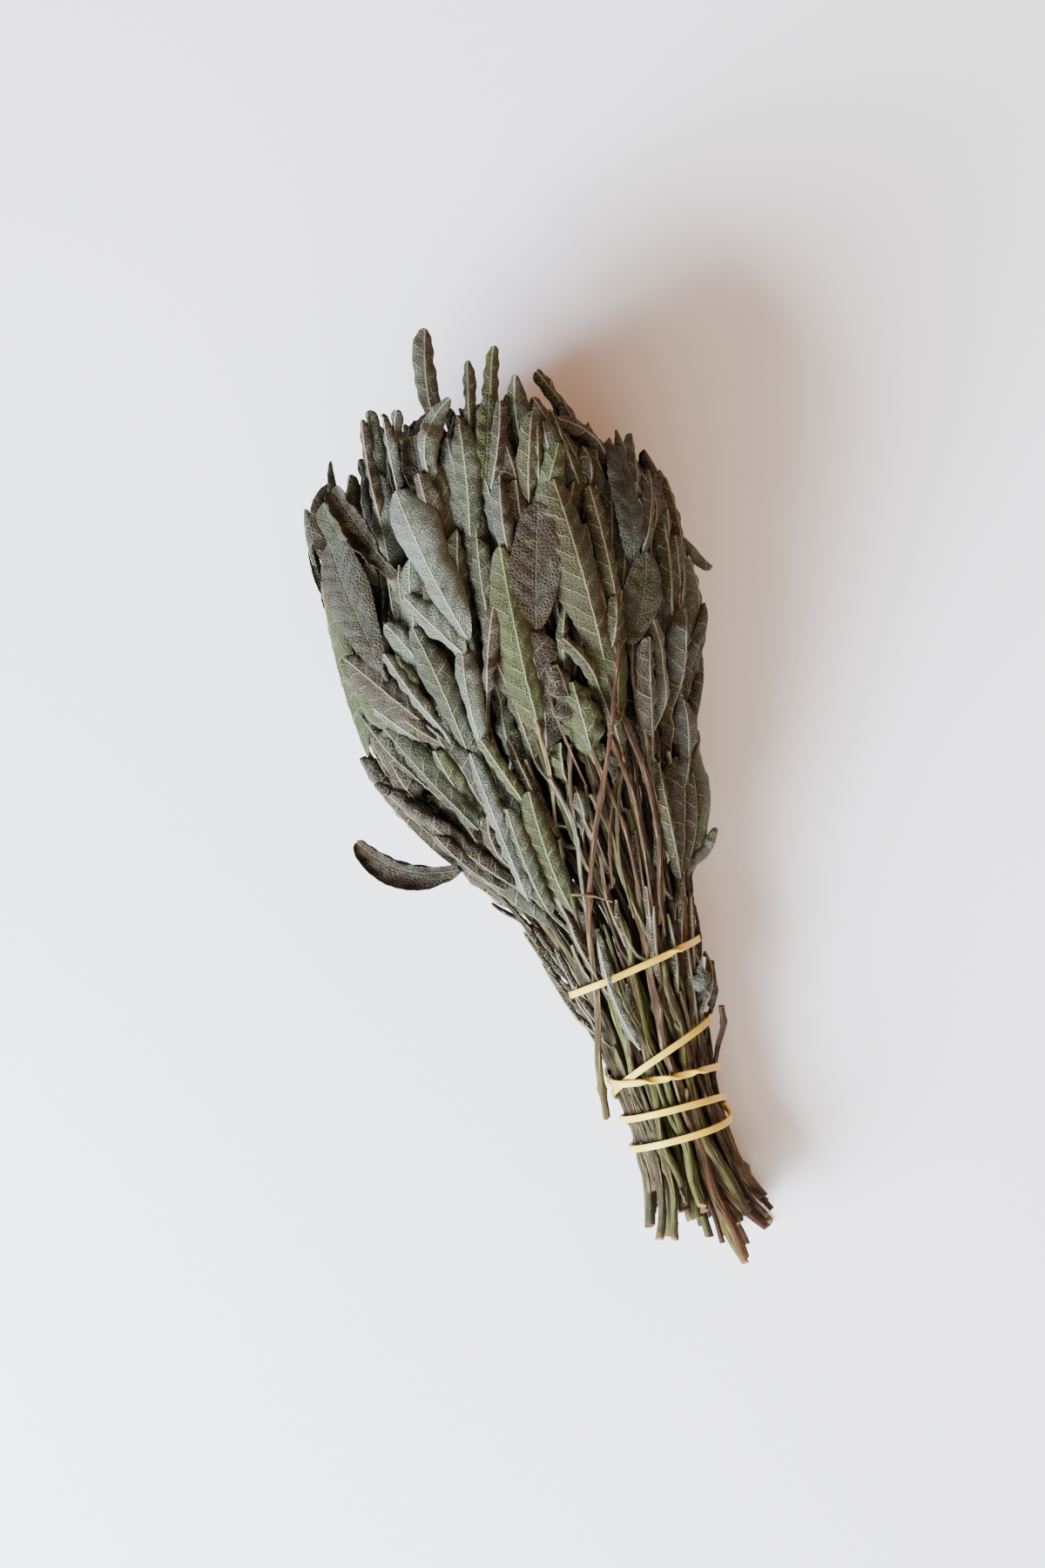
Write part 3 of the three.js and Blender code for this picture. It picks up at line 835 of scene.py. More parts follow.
def band_surface(band, width, thickness, lift, twists):
    """A flat rubber strip with round edges, closed on itself. Its path goes round the outer stems
    and stands off them by lift(angle). Two passes lie spread apart by the hyperbolic tangent of
    the sine of half the angle past the crossing. Each twist turns the section about the path by
    pi for each half turn, times the logistic function of the angle past its middle."""
    steps = BAND_STEPS * band.turns
    angle = np.arange(steps) / steps * 2 * np.pi * band.turns
    along = band.along + band.slant * np.cos(angle)
    if band.turns > 1:
        along = along + (band.spread * np.tanh(band.sharpness * np.sin((band.crossing - angle) / 2))
                         / math.tanh(band.sharpness))
    out = outwards_at(angle, along)
    roll = np.zeros_like(angle)
    for middle, stretch, half_turns in twists:
        past = (angle - math.radians(middle)) / math.radians(stretch)
        roll += half_turns * np.pi / (1 + np.exp(-past * 3))
    stand = (STEM_RADIUS + BAND_GAP * 0.4 + thickness / 2 + lift(angle)
             + (width - thickness) / 2 * np.abs(np.sin(roll)))
    centres = place(RINGS[-1].share, angle, along) + out * stand[:, None]
    tangent = unit(np.roll(centres, -1, 0) - np.roll(centres, 1, 0))
    out = unit(out - tangent * np.sum(out * tangent, -1, keepdims=True))
    side = np.cross(tangent, out)
    cos, sin = np.cos(roll)[:, None], np.sin(roll)[:, None]
    out, side = out * cos + side * sin, side * cos - out * sin
    sides = BAND_SIDES
    turn = (np.arange(sides) + 0.5) / sides * 2 * np.pi
    x = np.sign(np.cos(turn)) * np.abs(np.cos(turn)) ** BAND_SQUARENESS * width / 2
    y = np.sign(np.sin(turn)) * np.abs(np.sin(turn)) ** BAND_SQUARENESS * thickness / 2
    y = y + BAND_HOLLOW * (x / (width / 2)) ** 2
    points = centres[:, None] + side[:, None] * x[None, :, None] + out[:, None] * y[None, :, None]
    i = np.arange(steps)[:, None] * sides
    j = np.arange(sides)[None, :]
    ahead = (np.arange(steps)[:, None] + 1) % steps * sides
    k = (j + 1) % sides
    faces = np.stack([i + j, ahead + j, ahead + k, i + k], -1).reshape(-1, 4)
    run = np.arange(steps) * np.linalg.norm(centres[1] - centres[0])
    spots = np.stack(np.broadcast_arrays(x[None, :], run[:, None]), -1).reshape(-1, 2)
    return Surface(points.reshape(-1, 3), faces, spots[faces].reshape(-1, 2), {})


# ---- Materials ----

# One wave or cell of each pattern, in mm.
VEIN_CELL = 1 / 1.2                # of the net of the smallest veins
VEIN_SWAY = 1 / 0.32               # of the veins' wavering
FELT = 1 / 2.6                     # from tuft to tuft, coarser than the real hair so that it shows
MOTTLE = 1 / 0.21                  # of dust and stains on a leaf
BARK_STREAK = (1 / 1.7, 1 / 0.10)  # round a stem and along it
BARK_PATCH = 1 / 0.13
BARK_GRAIN = 1 / 1.5
RUBBER_CLOUD = 1 / 0.26
RUBBER_GRAIN = 1 / 1.8
TABLE_CLOUD = 1000 / 3

# Settings that many nodes share. A map's sockets are the value, from low, from high, to low and
# to high; a mix's are 0 for the factor and 6 and 7 for its colours, and its output 2 is a colour.
SMOOTH = {"interpolation_type": "SMOOTHSTEP"}
MIX = {"data_type": "RGBA"}
MULTIPLY = {"data_type": "RGBA", "blend_type": "MULTIPLY"}


def add_node(tree, kind, inputs, output=0, **settings):
    """Adds a node and returns one of its outputs. Settings are its own properties; inputs are
    socket names or numbers with a value, or with the output that is linked there."""
    node = tree.nodes.new("ShaderNode" + kind)
    for key, value in settings.items():
        setattr(node, key, value)
    for key, value in inputs.items():
        if isinstance(value, bpy.types.NodeSocket):
            tree.links.new(value, node.inputs[key])
        else:
            node.inputs[key].default_value = value
    return node.outputs[output] if node.outputs else None


def new_material(name):
    """An empty material, and add_node for its tree."""
    material = bpy.data.materials.new(name)
    material.use_nodes = True
    material.node_tree.nodes.clear()
    return material, functools.partial(add_node, material.node_tree)


def leaf_material(colours):
    """Dried sage leaf. It is felted with short hairs, so it is dull with a pale sheen at grazing
    angles. Sunken veins quilt its upper side into small pebbles, and the same veins stand up as a
    cream net on its underside."""
    material, add = new_material("dried_sage_leaf")
    spot = add("UVMap", {}, uv_map="surface_mm")
    tint = add("Attribute", {}, attribute_name="tint")
    upper = add("Attribute", {}, "Fac", attribute_name="upper")
    spot_xyz = add("TexCoord", {}, "Object")

    # The veins. The midrib stays straight, and the others waver.
    sway = add("TexNoise", {"Vector": spot_xyz, "Scale": 1 / (VEIN_SWAY * MM), "Detail": 2.0}, 1)
    sway = add("VectorMath", {0: sway, 1: (0.5, 0.5, 0.5)}, operation="SUBTRACT")
    sway = add("VectorMath", {0: sway, "Scale": 1.6}, operation="SCALE")
    bent = add("VectorMath", {0: spot, 1: sway}, operation="ADD")
    across = add("SeparateXYZ", {0: bent})
    along = across.node.outputs[1]
    straight = add("SeparateXYZ", {0: spot})
    off = add("Math", {0: across}, operation="ABSOLUTE")
    off_straight = add("Math", {0: straight}, operation="ABSOLUTE")
    right_half = add("Math", {0: straight, 1: 0.0}, operation="GREATER_THAN")
    shift = add("Math", {0: right_half, 1: LATERAL_SPACING / 2}, operation="MULTIPLY")
    shifted = add("Math", {0: along, 1: shift}, operation="ADD")
    slant = add("Math", {0: off, 1: LATERAL_SLANT}, operation="MULTIPLY")
    lateral = add("Math", {0: shifted, 1: slant}, operation="SUBTRACT")
    lateral = add("Math", {0: lateral, 1: LATERAL_SPACING / 2}, operation="PINGPONG")
    lateral = add("MapRange", {0: lateral, 1: 0.02, 2: 0.26, 3: 1.0, 4: 0.0}, **SMOOTH)
    midrib = add("MapRange", {0: off_straight, 1: 0.10, 2: 0.34, 3: 1.0, 4: 0.0}, **SMOOTH)
    cells = add("TexVoronoi", {"Vector": bent, "Scale": 1 / VEIN_CELL},
                feature="DISTANCE_TO_EDGE", voronoi_dimensions="2D")
    net = add("MapRange", {0: cells, 1: 0.0, 2: 0.20, 3: 1.0, 4: 0.0}, **SMOOTH)
    dome = add("MapRange", {0: cells, 1: 0.0, 2: 0.42}, **SMOOTH)
    big_veins = add("Math", {0: midrib, 1: lateral}, operation="MAXIMUM")
    faint_net = add("Math", {0: net, 1: 0.6}, operation="MULTIPLY")
    veins = add("Math", {0: big_veins, 1: faint_net}, operation="MAXIMUM")
    felt = add("TexNoise", {"Vector": spot_xyz, "Scale": 1 / (FELT * MM), "Detail": 3.0,
                            "Roughness": 0.7})
    mottle = add("TexNoise", {"Vector": spot_xyz, "Scale": 1 / (MOTTLE * MM), "Detail": 4.0,
                              "Roughness": 0.65})

    # Its colours: the tint under dust and stains, then veins, painted shade in the grooves and last
    # the hair.
    share = add("MapRange", {0: mottle, 1: 0.46, 2: 0.70, 4: 0.12}, **SMOOTH)
    dusty = add("Mix", {0: share, 6: tint, 7: (*linear("#8F958C"), 1)}, 2, **MIX)
    share = add("MapRange", {0: mottle, 1: 0.46, 2: 0.32, 4: 0.45}, **SMOOTH)
    stained = add("Mix", {0: share, 6: dusty, 7: (*linear("#54472F"), 1)}, 2, **MIX)
    share = add("MapRange", {0: upper, 1: 0.0, 2: 1.0, 3: 0.68, 4: 0.12}, **SMOOTH)
    share = add("Math", {0: veins, 1: share}, operation="MULTIPLY")
    lit_tint = add("Mix", {0: 1.0, 6: tint, 7: (2.0, 1.9, 1.8, 1)}, 2, **MULTIPLY)
    vein_colour = add("Mix", {0: 0.5, 6: lit_tint, 7: (*colours.vein, 1)}, 2, **MIX)
    veined = add("Mix", {0: share, 6: stained, 7: vein_colour}, 2, **MIX)
    # Painted shade: on the upper side the net of sunken veins is darkened.
    share = add("MapRange", {0: cells, 1: 0.12, 2: 0.0, 4: 0.22}, **SMOOTH)
    share = add("Math", {0: upper, 1: share}, operation="MULTIPLY")
    shaded_grooves = add("Mix", {0: share, 6: veined, 7: (*linear("#33301F"), 1)}, 2, **MIX)
    fuzz = add("MapRange", {0: felt, 1: 0.3, 2: 0.75, 3: 0.74, 4: 1.20}, **SMOOTH)
    colour = add("Mix", {0: 1.0, 6: shaded_grooves, 7: fuzz}, 2, **MULTIPLY)

    # Its relief: raised veins on the underside, pebbles on the upper side, and hair on both.
    high_net = add("Math", {0: net, 1: 0.8}, operation="MULTIPLY")
    raised = add("Math", {0: big_veins, 1: high_net}, operation="MAXIMUM")
    hair = add("Math", {0: felt, 1: 0.25}, operation="MULTIPLY")
    under_relief = add("Math", {0: raised, 1: hair}, operation="ADD")
    pebbles = add("Math", {0: dome, 1: 0.35}, operation="MULTIPLY")
    pebbles = add("Math", {0: pebbles, 1: hair}, operation="ADD")
    sunken = add("Math", {0: big_veins, 1: 0.5}, operation="MULTIPLY")
    upper_relief = add("Math", {0: pebbles, 1: sunken}, operation="SUBTRACT")
    relief = add("Mix", {0: upper, 2: under_relief, 3: upper_relief})
    bump = add("Bump", {"Height": relief, "Strength": 1.0, "Distance": 0.0008})
    shader = add("BsdfPrincipled", {
        "Base Color": colour, "Roughness": 0.86, "Normal": bump, "Specular IOR Level": 0.12,
        "Sheen Weight": 0.05, "Sheen Roughness": 0.45})
    add("OutputMaterial", {"Surface": shader})
    return material


def stem_material():
    """Dried sage stem: a thin matt bark, streaked along its length, worn and dotted with dust,
    round a woody cut end with darker patches."""
    material, add = new_material("dried_stem_bark")
    spot = add("UVMap", {}, uv_map="surface_mm")
    tint = add("Attribute", {}, attribute_name="tint")
    cut = add("Attribute", {}, "Fac", attribute_name="cut")
    spot_xyz = add("TexCoord", {}, "Object")
    drawn_out = add("Mapping", {"Vector": spot,
                                "Scale": (1 / BARK_STREAK[0], 1 / BARK_STREAK[1], 1.0)})
    streak = add("TexNoise", {"Vector": drawn_out, "Scale": 1.0, "Detail": 4.0, "Roughness": 0.6})
    patch = add("TexNoise", {"Vector": spot_xyz, "Scale": 1 / (BARK_PATCH * MM), "Detail": 4.0,
                             "Roughness": 0.6})
    grain = add("TexNoise", {"Vector": spot_xyz, "Scale": 1 / (BARK_GRAIN * MM), "Detail": 3.0,
                             "Roughness": 0.7})
    colour = tint
    # Worn bark, cracks, pale ridges that are partly painted highlight, and dust: the noise they
    # follow, its range, the share and colour.
    for noise, low, high, most, code in (
            (patch, 0.50, 0.36, 0.65, "#3A2817"), (streak, 0.52, 0.38, 0.85, "#1A120A"),
            # Pale ridges on the streaks' high crests: partly paler bark, partly painted highlight.
            (streak, 0.55, 0.68, 0.62, "#9A9166"), (patch, 0.56, 0.76, 0.30, "#787156")):
        share = add("MapRange", {0: noise, 1: low, 2: high, 4: most}, **SMOOTH)
        colour = add("Mix", {0: share, 6: colour, 7: (*linear(code), 1)}, 2, **MIX)
    share = add("MapRange", {0: patch, 1: 0.40, 2: 0.62}, **SMOOTH)
    wood = add("Mix", {0: share, 6: (*linear("#3A2617"), 1), 7: (*linear("#7D5C3E"), 1)}, 2, **MIX)
    colour = add("Mix", {0: cut, 6: colour, 7: wood}, 2, **MIX)
    fine = add("Math", {0: grain, 1: 0.35}, operation="MULTIPLY")
    height = add("Math", {0: streak, 1: fine}, operation="ADD")
    bump = add("Bump", {"Height": height, "Strength": 0.95, "Distance": 0.0006})
    shader = add("BsdfPrincipled", {"Base Color": colour, "Roughness": 0.72, "Normal": bump,
                                    "Specular IOR Level": 0.2})
    add("OutputMaterial", {"Surface": shader})
    return material


def rubber_material(colours):
    """Natural rubber band: yellow, a little translucent, satin where it was cut from a tube,
    with fine dust on it."""
    material, add = new_material("natural_rubber")
    spot_xyz = add("TexCoord", {}, "Object")
    cloud = add("TexNoise", {"Vector": spot_xyz, "Scale": 1 / (RUBBER_CLOUD * MM), "Detail": 4.0,
                             "Roughness": 0.6})
    grain = add("TexNoise", {"Vector": spot_xyz, "Scale": 1 / (RUBBER_GRAIN * MM), "Detail": 2.0})
    share = add("MapRange", {0: cloud, 1: 0.40, 2: 0.70, 4: 0.55}, **SMOOTH)
    colour = add("Mix", {0: share, 6: (*colours.rubber, 1), 7: (*linear("#AE9130"), 1)}, 2, **MIX)
    roughness = add("MapRange", {0: cloud, 1: 0.3, 2: 0.7, 3: 0.38, 4: 0.58}, **SMOOTH)
    bump = add("Bump", {"Height": grain, "Strength": 0.35, "Distance": 0.0001})
    shader = add("BsdfPrincipled", {
        "Base Color": colour, "Roughness": roughness, "Normal": bump, "IOR": 1.52,
        "Subsurface Weight": 0.15, "Subsurface Scale": 0.001,
        "Subsurface Radius": (1.0, 0.7, 0.3)})
    add("OutputMaterial", {"Surface": shader})
    return material


def table_material(colours):
    """Matt painted table top, all but even."""
    material, add = new_material("matt_table")
    spot_xyz = add("TexCoord", {}, "Object")
    cloud = add("TexNoise", {"Vector": spot_xyz, "Scale": 1 / (TABLE_CLOUD * MM)})
    share = add("MapRange", {0: cloud, 1: 0.3, 2: 0.7, 4: 0.25}, **SMOOTH)
    colour = add("Mix", {0: share, 6: (*colours.floor, 1), 7: (*linear("#D5D4D6"), 1)}, 2, **MIX)
    shader = add("BsdfPrincipled", {"Base Color": colour, "Roughness": 0.8,
                                    "Specular IOR Level": 0.2})
    add("OutputMaterial", {"Surface": shader})
    return material


# ---- The leaves of the front, listed one by one ----

class Kind(NamedTuple):
    """A way that a leaf dries. The curl is of its left and right edge as seen from outside."""
    curl: tuple
    fold: float
    laid_flat: float         # its width laid flat for each mm that shows
    under: bool = True       # its underside looks outwards
    crumple: float = 0.6


KINDS = {
    "flat": Kind((60, 75), 17, 1.14),
    "cupped": Kind((120, 100), 22, 1.36),
    "rolled": Kind((210, 190), 26, 2.05, crumple=0.5),
    "left": Kind((185, 60), 20, 1.52),
    "right": Kind((60, 185), 20, 1.52),
    "folded": Kind((60, 70), 58, 1.9),
    "upper": Kind((-35, -45), 12, 1.10, under=False),
    "dished": Kind((85, 70), 16, 1.25, under=False),
    "crumpled": Kind((120, 130), 30, 1.55, crumple=2.2),
}


class FrontLeaf(NamedTuple):
    """A leaf that shows from above. Places are across and along the bunch and the width is that
    which shows, all in mm."""
    base: tuple
    tip: tuple
    width: float
    tone: str
    kind: str
    more: dict = {}


# From those that lie lowest to the topmost.
FRONT_LEAVES = [FrontLeaf(*row) for row in (
    # behind the top
    ((-21, 182), (-18.2, 201.5), 4.5, "sage", "cupped", {"tip_curl": 2.0, "level": 0.75}),
    ((-14, 188), (-12.4, 200), 4, "grey", "rolled"),
    ((-5.2, 192), (-1.8, 216.5), 6.8, "sage", "cupped",
     {"twist": 40, "sway": -1.0, "brown": 0.5, "level": 0.6}),
    ((1.2, 188), (5.4, 206.5), 3.6, "sage", "rolled", {"level": 0.6}),
    ((7.0, 191), (11.6, 208), 4.2, "fresh", "rolled", {"tip_curl": 2.0, "level": 0.6}),
    ((27.5, 181), (19.4, 200.5), 3.8, "olive", "rolled", {"brown": 0.5, "level": 0.8}),
    ((20, 181), (17.2, 194.5), 4.5, "brown", "cupped"),
    ((12.3, 185), (14.2, 200), 4.8, "sage", "left", {"tip_curl": 3.0}),
    ((-12, 178), (-10.4, 193), 7, "umber", "dished"),
    ((-22.5, 176), (-21.1, 200.4), 3.6, "brown", "folded"),
    ((-17, 178), (-15.7, 199), 3.4, "grey", "rolled"),
    ((-39.5, 168), (-39.2, 185.6), 3.6, "sage", "rolled", {"sway": 1.0}),
    # the top
    ((22, 173), (20.5, 188), 4.5, "brown", "folded"),
    ((34, 168), (36.6, 182), 4.5, "grey", "cupped"),
    ((29.5, 176), (21, 188.4), 4.2, "brown", "cupped", {"sway": 2.0}),
    ((17.5, 172), (17.6, 188.4), 5, "grey", "left"),
    ((13, 173), (16.5, 189), 5, "olive", "right", {"brown": 0.5}),
    ((1.7, 178), (7.8, 197.5), 5.5, "fresh", "upper", {"curl": (-90, -90)}),
    ((3, 177), (10, 195.4), 4.8, "brown", "folded"),
    ((-9.3, 182), (-0.6, 199), 6.5, "silver", "cupped", {"sway": -3.0, "brown": 0.35}),
    ((-4, 168), (0, 192.8), 8, "sage", "flat"),
    ((10, 171), (16, 191), 7, "olive", "cupped"),
    ((8.5, 162), (20, 182.7), 7, "fresh", "cupped"),
    ((3, 158), (5.5, 179), 6, "grey", "folded"),
    ((-10.5, 168), (-11.5, 184.5), 5, "brown", "left"),
    ((24, 172), (25, 181), 4, "umber", "crumpled"),
    # the right flank
    ((37, 140), (41.6, 171), 5.5, "brown", "cupped"),
    ((34.5, 139), (38.9, 168.2), 4.6, "olive", "folded"),
    ((30, 152), (38, 172.9), 4.6, "grey", "left"),
    ((23, 143), (24.2, 172), 6.5, "olive", "cupped", {"brown": 0.5}),
    ((38.5, 124), (41.3, 139), 3.5, "umber", "flat", {"sway": 0.0, "bulge": 0.3}),
    ((42, 157.8), (46.0, 148.2), 3.6, "silver", "cupped", {"tip_curl": 2.0}),
    ((31.5, 122), (38, 141), 7.5, "grey", "crumpled", {"crumple": 0.8}),
    ((22.4, 110), (28, 137), 7.5, "brown", "cupped", {"crumple": 0.8}),
    ((28, 102), (33, 122.3), 6.5, "grey", "crumpled"),
    ((22, 82), (23.2, 109), 4, "olive", "rolled", {"brown": 0.5}),
    ((24, 84), (30.5, 104.6), 4.4, "brown", "folded"),
    ((25, 84), (33, 91), 4.5, "silver", "cupped", {"twist": 60}),
    ((29, 152), (31.8, 180), 8, "grey", "upper", {"curl": (-50, -60), "crumple": 0.9}),
    # the bark of the right edge, between the bands
    ((19.5, 50), (22.0, 63), 4, "grey", "crumpled"),
    ((21.5, 49.5), (24.0, 61), 3.4, "umber", "crumpled"),
    ((20.5, 52), (23.4, 63.5), 3, "brown", "rolled"),
    # the left flank
    ((-36.5, 160), (-38.3, 179), 5, "umber", "dished"),
    ((-32, 112), (-38.8, 133), 5.5, "brown", "crumpled"),
    ((-26, 107), (-34.5, 125), 6, "umber", "crumpled"),
    ((-12.5, 88), (-30.5, 111), 5.5, "umber", "rolled", {"brown": 0.5}),
    ((-30, 120), (-38.5, 139), 6.5, "umber", "crumpled"),
    ((-27.5, 101), (-41, 127.5), 6.5, "umber", "crumpled"),
    ((-26, 97), (-39, 121), 6, "brown", "crumpled"),
    ((-22, 96), (-36, 118), 6.5, "grey", "crumpled", {"brown": 0.6}),
    ((-17, 90), (-29, 106), 4.5, "umber", "rolled"),
    ((-39.5, 128), (-39.4, 168), 9.5, "fresh", "flat"),
    ((-29, 127), (-38.5, 150), 11, "fresh", "flat", {"upwards": 0.7}),
    ((-25.5, 126), (-36.5, 139), 5, "silver", "rolled"),
    ((-22.5, 126), (-29.7, 134), 5, "brown", "crumpled"),
    ((-25, 131), (-38, 149.3), 11, "brown", "flat", {"upwards": 0.7}),
    ((-18.5, 108), (-23.8, 125), 6.5, "fresh", "cupped"),
    ((-19.5, 105), (-33.4, 132), 8.5, "sage", "flat"),
    ((-27, 164), (-34, 185), 9, "sage", "upper", {"brown": 0.4}),
    ((-22, 163), (-30.8, 187), 7.5, "umber", "dished", {"crumple": 0.9, "brown": 0.8}),
    ((-31, 145), (-35.5, 176.5), 12.5, "grey", "upper",
     {"blunt": 0.35, "upwards": 1.2, "level": 0.97, "brown": 0.45}),
    ((-21.5, 142), (-27.4, 154.5), 7, "silver", "flat"),
    ((-21.5, 129), (-29.0, 148), 4.2, "silver", "rolled"),
    ((-17, 123), (-21.6, 152), 8.5, "sage", "right"),
    ((-13.3, 121), (-12, 146), 6.5, "silver", "cupped"),
    ((-12, 143), (-21.6, 158.8), 7.5, "silver", "left"),
    ((-7, 106), (-13.6, 124.5), 4.4, "fresh", "rolled"),
    ((-3.7, 81.5), (-6.2, 110.3), 8, "fresh", "flat"),
    ((-12.8, 87), (-16.8, 121.5), 5.4, "silver", "rolled"),
    ((-8.5, 82), (-11.8, 108), 4.8, "sage", "rolled"),
    # the middle
    ((-5, 142), (-2.8, 167), 6.5, "sage", "flat"),
    ((-9.3, 134), (-3, 152), 5, "brown", "rolled"),
    ((7, 119), (6.8, 136), 6, "umber", "crumpled"),
    ((15.5, 109), (15.7, 122), 5, "olive", "crumpled"),
    ((9.5, 112), (9.3, 131), 9.5, "fresh", "crumpled"),
    ((2.6, 110), (3.4, 118.5), 5, "fresh", "crumpled"),
    ((3.4, 99), (4, 108.5), 5, "grey", "rolled"),
    ((8.4, 134), (12.3, 148), 3, "fresh", "rolled"),
    ((-0.5, 121), (1.6, 163.8), 10, "fresh", "flat"),
    ((-10.4, 146), (-17.6, 182.3), 13, "silver", "flat",
     {"crumple": 0.3, "brown": 0.1, "roll": -12}),
    ((4.4, 144), (12.1, 171), 10.5, "brown", "upper", {"curl": (-20, -25), "crumple": 0.25}),
    ((17.4, 133), (16.7, 175.2), 10, "olive", "right", {"crumple": 0.3, "curl": (20, 110)}),
    ((24, 136), (32.3, 155), 8, "olive", "upper", {"crumple": 0.25}),
    ((-25.7, 97), (-47.6, 109), 8.0, "umber", "dished",
     {"sway": -3.0, "level": 1.12, "brown": 0.6}),
    ((0.5, 74.5), (3.3, 46), 3.0, "silver", "rolled", {"level": 0.97, "sway": 1.2}),
)]
FRONT_LEVEL = 0.90    # of the shell, that a leaf lies on at least
TUCKED_LEVEL = 0.85   # leaves that are set lower than this are left out of the heap
FARTHEST_ROOT = 14.0  # mm from a leaf's base to its stem; past that a short petiole is made up
FRONT_WIDTH = 0.97    # of what the laid-flat width comes to

# Of the front sprig itself: the point of its centre line that each grows from, and the leaf.
FRONT_SPRIG_LEAVES = [
    (60, FrontLeaf((14.5, 129), (9.5, 141), 4.0, "olive", "rolled", {"level": 1.05})),
    (66, FrontLeaf((19.5, 136), (23.5, 147), 4.5, "olive", "cupped", {"level": 1.05})),
]


def front_leaf_shape(leaf, root, direction, heap, seed):
    """Where a front leaf lies: base and tip on the shell at its level, grown from a root."""
    kind = KINDS[leaf.kind]
    more = dict(leaf.more)
    least = more.pop("level", FRONT_LEVEL)
    curl = more.pop("curl", kind.curl)
    rng = np.random.default_rng(seed)
    base, angle_a = upper_point(*leaf.base, heap.level_at(*leaf.base, least) - 0.05)
    tip, angle_b = upper_point(*leaf.tip, heap.level_at(*leaf.tip, least) + 0.01)
    middle = min((leaf.base[1] + leaf.tip[1]) / 2, TAPER_START)
    if np.linalg.norm(base - root) > FARTHEST_ROOT:
        direction = unit(tip - base)
        root = base - direction * 10 - outwards_at((angle_a + angle_b) / 2, middle) * 2.5
    upwards = np.array([0.0, 0.0, more.pop("upwards", 0.35)])
    looks = {"twist": rng.uniform(-24, 24), "roll": rng.uniform(-15, 15),
             "sway": rng.uniform(-0.8, 0.8), "brown": rng.uniform(0.08, 0.4),
             "crumple": kind.crumple * rng.uniform(0.7, 1.3),
             "bulge": rng.uniform(1.0, 2.5), "tip_curl": rng.uniform(-0.5, 1.5),
             "blunt": rng.uniform(0.32, 0.46), **more}
    return LeafShape(
        root, direction, base, tip, unit(outwards_at((angle_a + angle_b) / 2, middle) + upwards),
        leaf.width * FRONT_WIDTH * kind.laid_flat, leaf.tone, kind.under,
        curl=curl[::-1] if kind.under else curl, fold=kind.fold, rows=58, columns=21, seed=seed,
        raised=True, shade=0.94, **looks)


TONE_ODDS = {"silver": 0.18, "grey": 0.17, "sage": 0.21, "olive": 0.13, "fresh": 0.09,
             "brown": 0.15, "umber": 0.07}
KIND_ODDS = {"flat": 0.20, "cupped": 0.18, "rolled": 0.17, "left": 0.10, "right": 0.10,
             "folded": 0.08, "upper": 0.07, "dished": 0.03, "crumpled": 0.07}
# Painted shade: grown leaves are darkened by their ring, most in the heart and inner rings deep in
# the bunch, least in the outer ring under the front leaves.
RING_PAINTED_SHADES = {"outer": 0.83, "middle": 0.64, "inner": 0.5, "heart": 0.5}
NECK_END = 74.0  # mm along


def longest_along(point):
    """How far along a leaf tip may reach at its place across and up: furthest in the middle."""
    across, up = point[0] + ORIGIN[0] + 5, point[2] - 31
    return 186 + 16 * (1 - (across / 36) ** 2 - 0.5 * (up / 28) ** 2)


def grown_leaf_shape(sprig, node, side, sizes, rng):
    """Where a leaf lies that grows from a sprig's node: it leaves the stem to one side, leans
    outwards, and is turned so that it tucks under its neighbour."""
    ring = sprig.ring
    spacing = 2 * math.pi / ring.count
    last = sprig.top - 0.25 * sizes.leaf_length / MM
    along = sprig.first_leaf + (last - sprig.first_leaf) * node / (ring.pairs - 1)
    along += rng.uniform(-4, 4)
    near_neck = max(0.0, 1 - (along - NECK_END) / 50)
    length = sizes.leaf_length / MM * rng.uniform(0.68, 1.08) * (1 - 0.1 * near_neck)
    lean = rng.uniform(-0.3, 0.3) * spacing + side * 0.34 * spacing
    pressed = 1 - 0.10 * max(0.0, -math.sin(sprig.angle))
    share = (0.84 if ring.name == "outer" else ring.share - 0.03 + 0.02 * side) * pressed
    tilt = ring.tilt * rng.uniform(0.4, 1.2)
    tip = place_by_shoulder(share + tilt, sprig.angle + lean, along + length)
    tip_along = min(along + length + rng.uniform(4, 9), longest_along(tip) + rng.uniform(-8, 2))
    base_along = min(along + rng.uniform(4, 9), tip_along - 17)
    tip[1] = tip_along - ORIGIN[1]
    base = place_by_shoulder(share, sprig.angle + lean * 0.45, base_along)
    root = stem_point(sprig, min(along, base_along - 4))
    direction = unit(stem_point(sprig, along + 4) - stem_point(sprig, along))
    kind = KINDS[str(rng.choice(list(KIND_ODDS), p=list(KIND_ODDS.values())))]
    if near_neck > 0.4 and kind.laid_flat < 1.3:
        kind = KINDS["rolled"]
    edges = rng.uniform(0.6, 1.35, 2)
    visible = ring.name == "outer" or node >= ring.pairs - 2
    return LeafShape(
        root, direction, base, tip,
        outwards_at(sprig.angle + lean, min(along + length / 2, TAPER_START)),
        sizes.leaf_width / MM * rng.uniform(0.72, 1.12), under=kind.under,
        tone=str(rng.choice(list(TONE_ODDS), p=list(TONE_ODDS.values()))),
        roll=rng.uniform(-22, 22), twist=rng.uniform(-45, 45),
        curl=tuple(np.array(kind.curl) * edges), fold=kind.fold * rng.uniform(0.6, 1.4),
        bulge=rng.uniform(0.3, 2.5), sway=rng.uniform(-2.2, 2.2), tip_curl=rng.uniform(-1, 2.5),
        crumple=kind.crumple * rng.uniform(0.6, 1.5), brown=rng.uniform(0.05, 0.55),
        # Painted shade by ring.
        shade=RING_PAINTED_SHADES[ring.name], rows=38 if visible else 24, columns=17 if visible else 11,
        blunt=rng.uniform(0.42, 0.7), seed=int(rng.integers(1 << 30)))


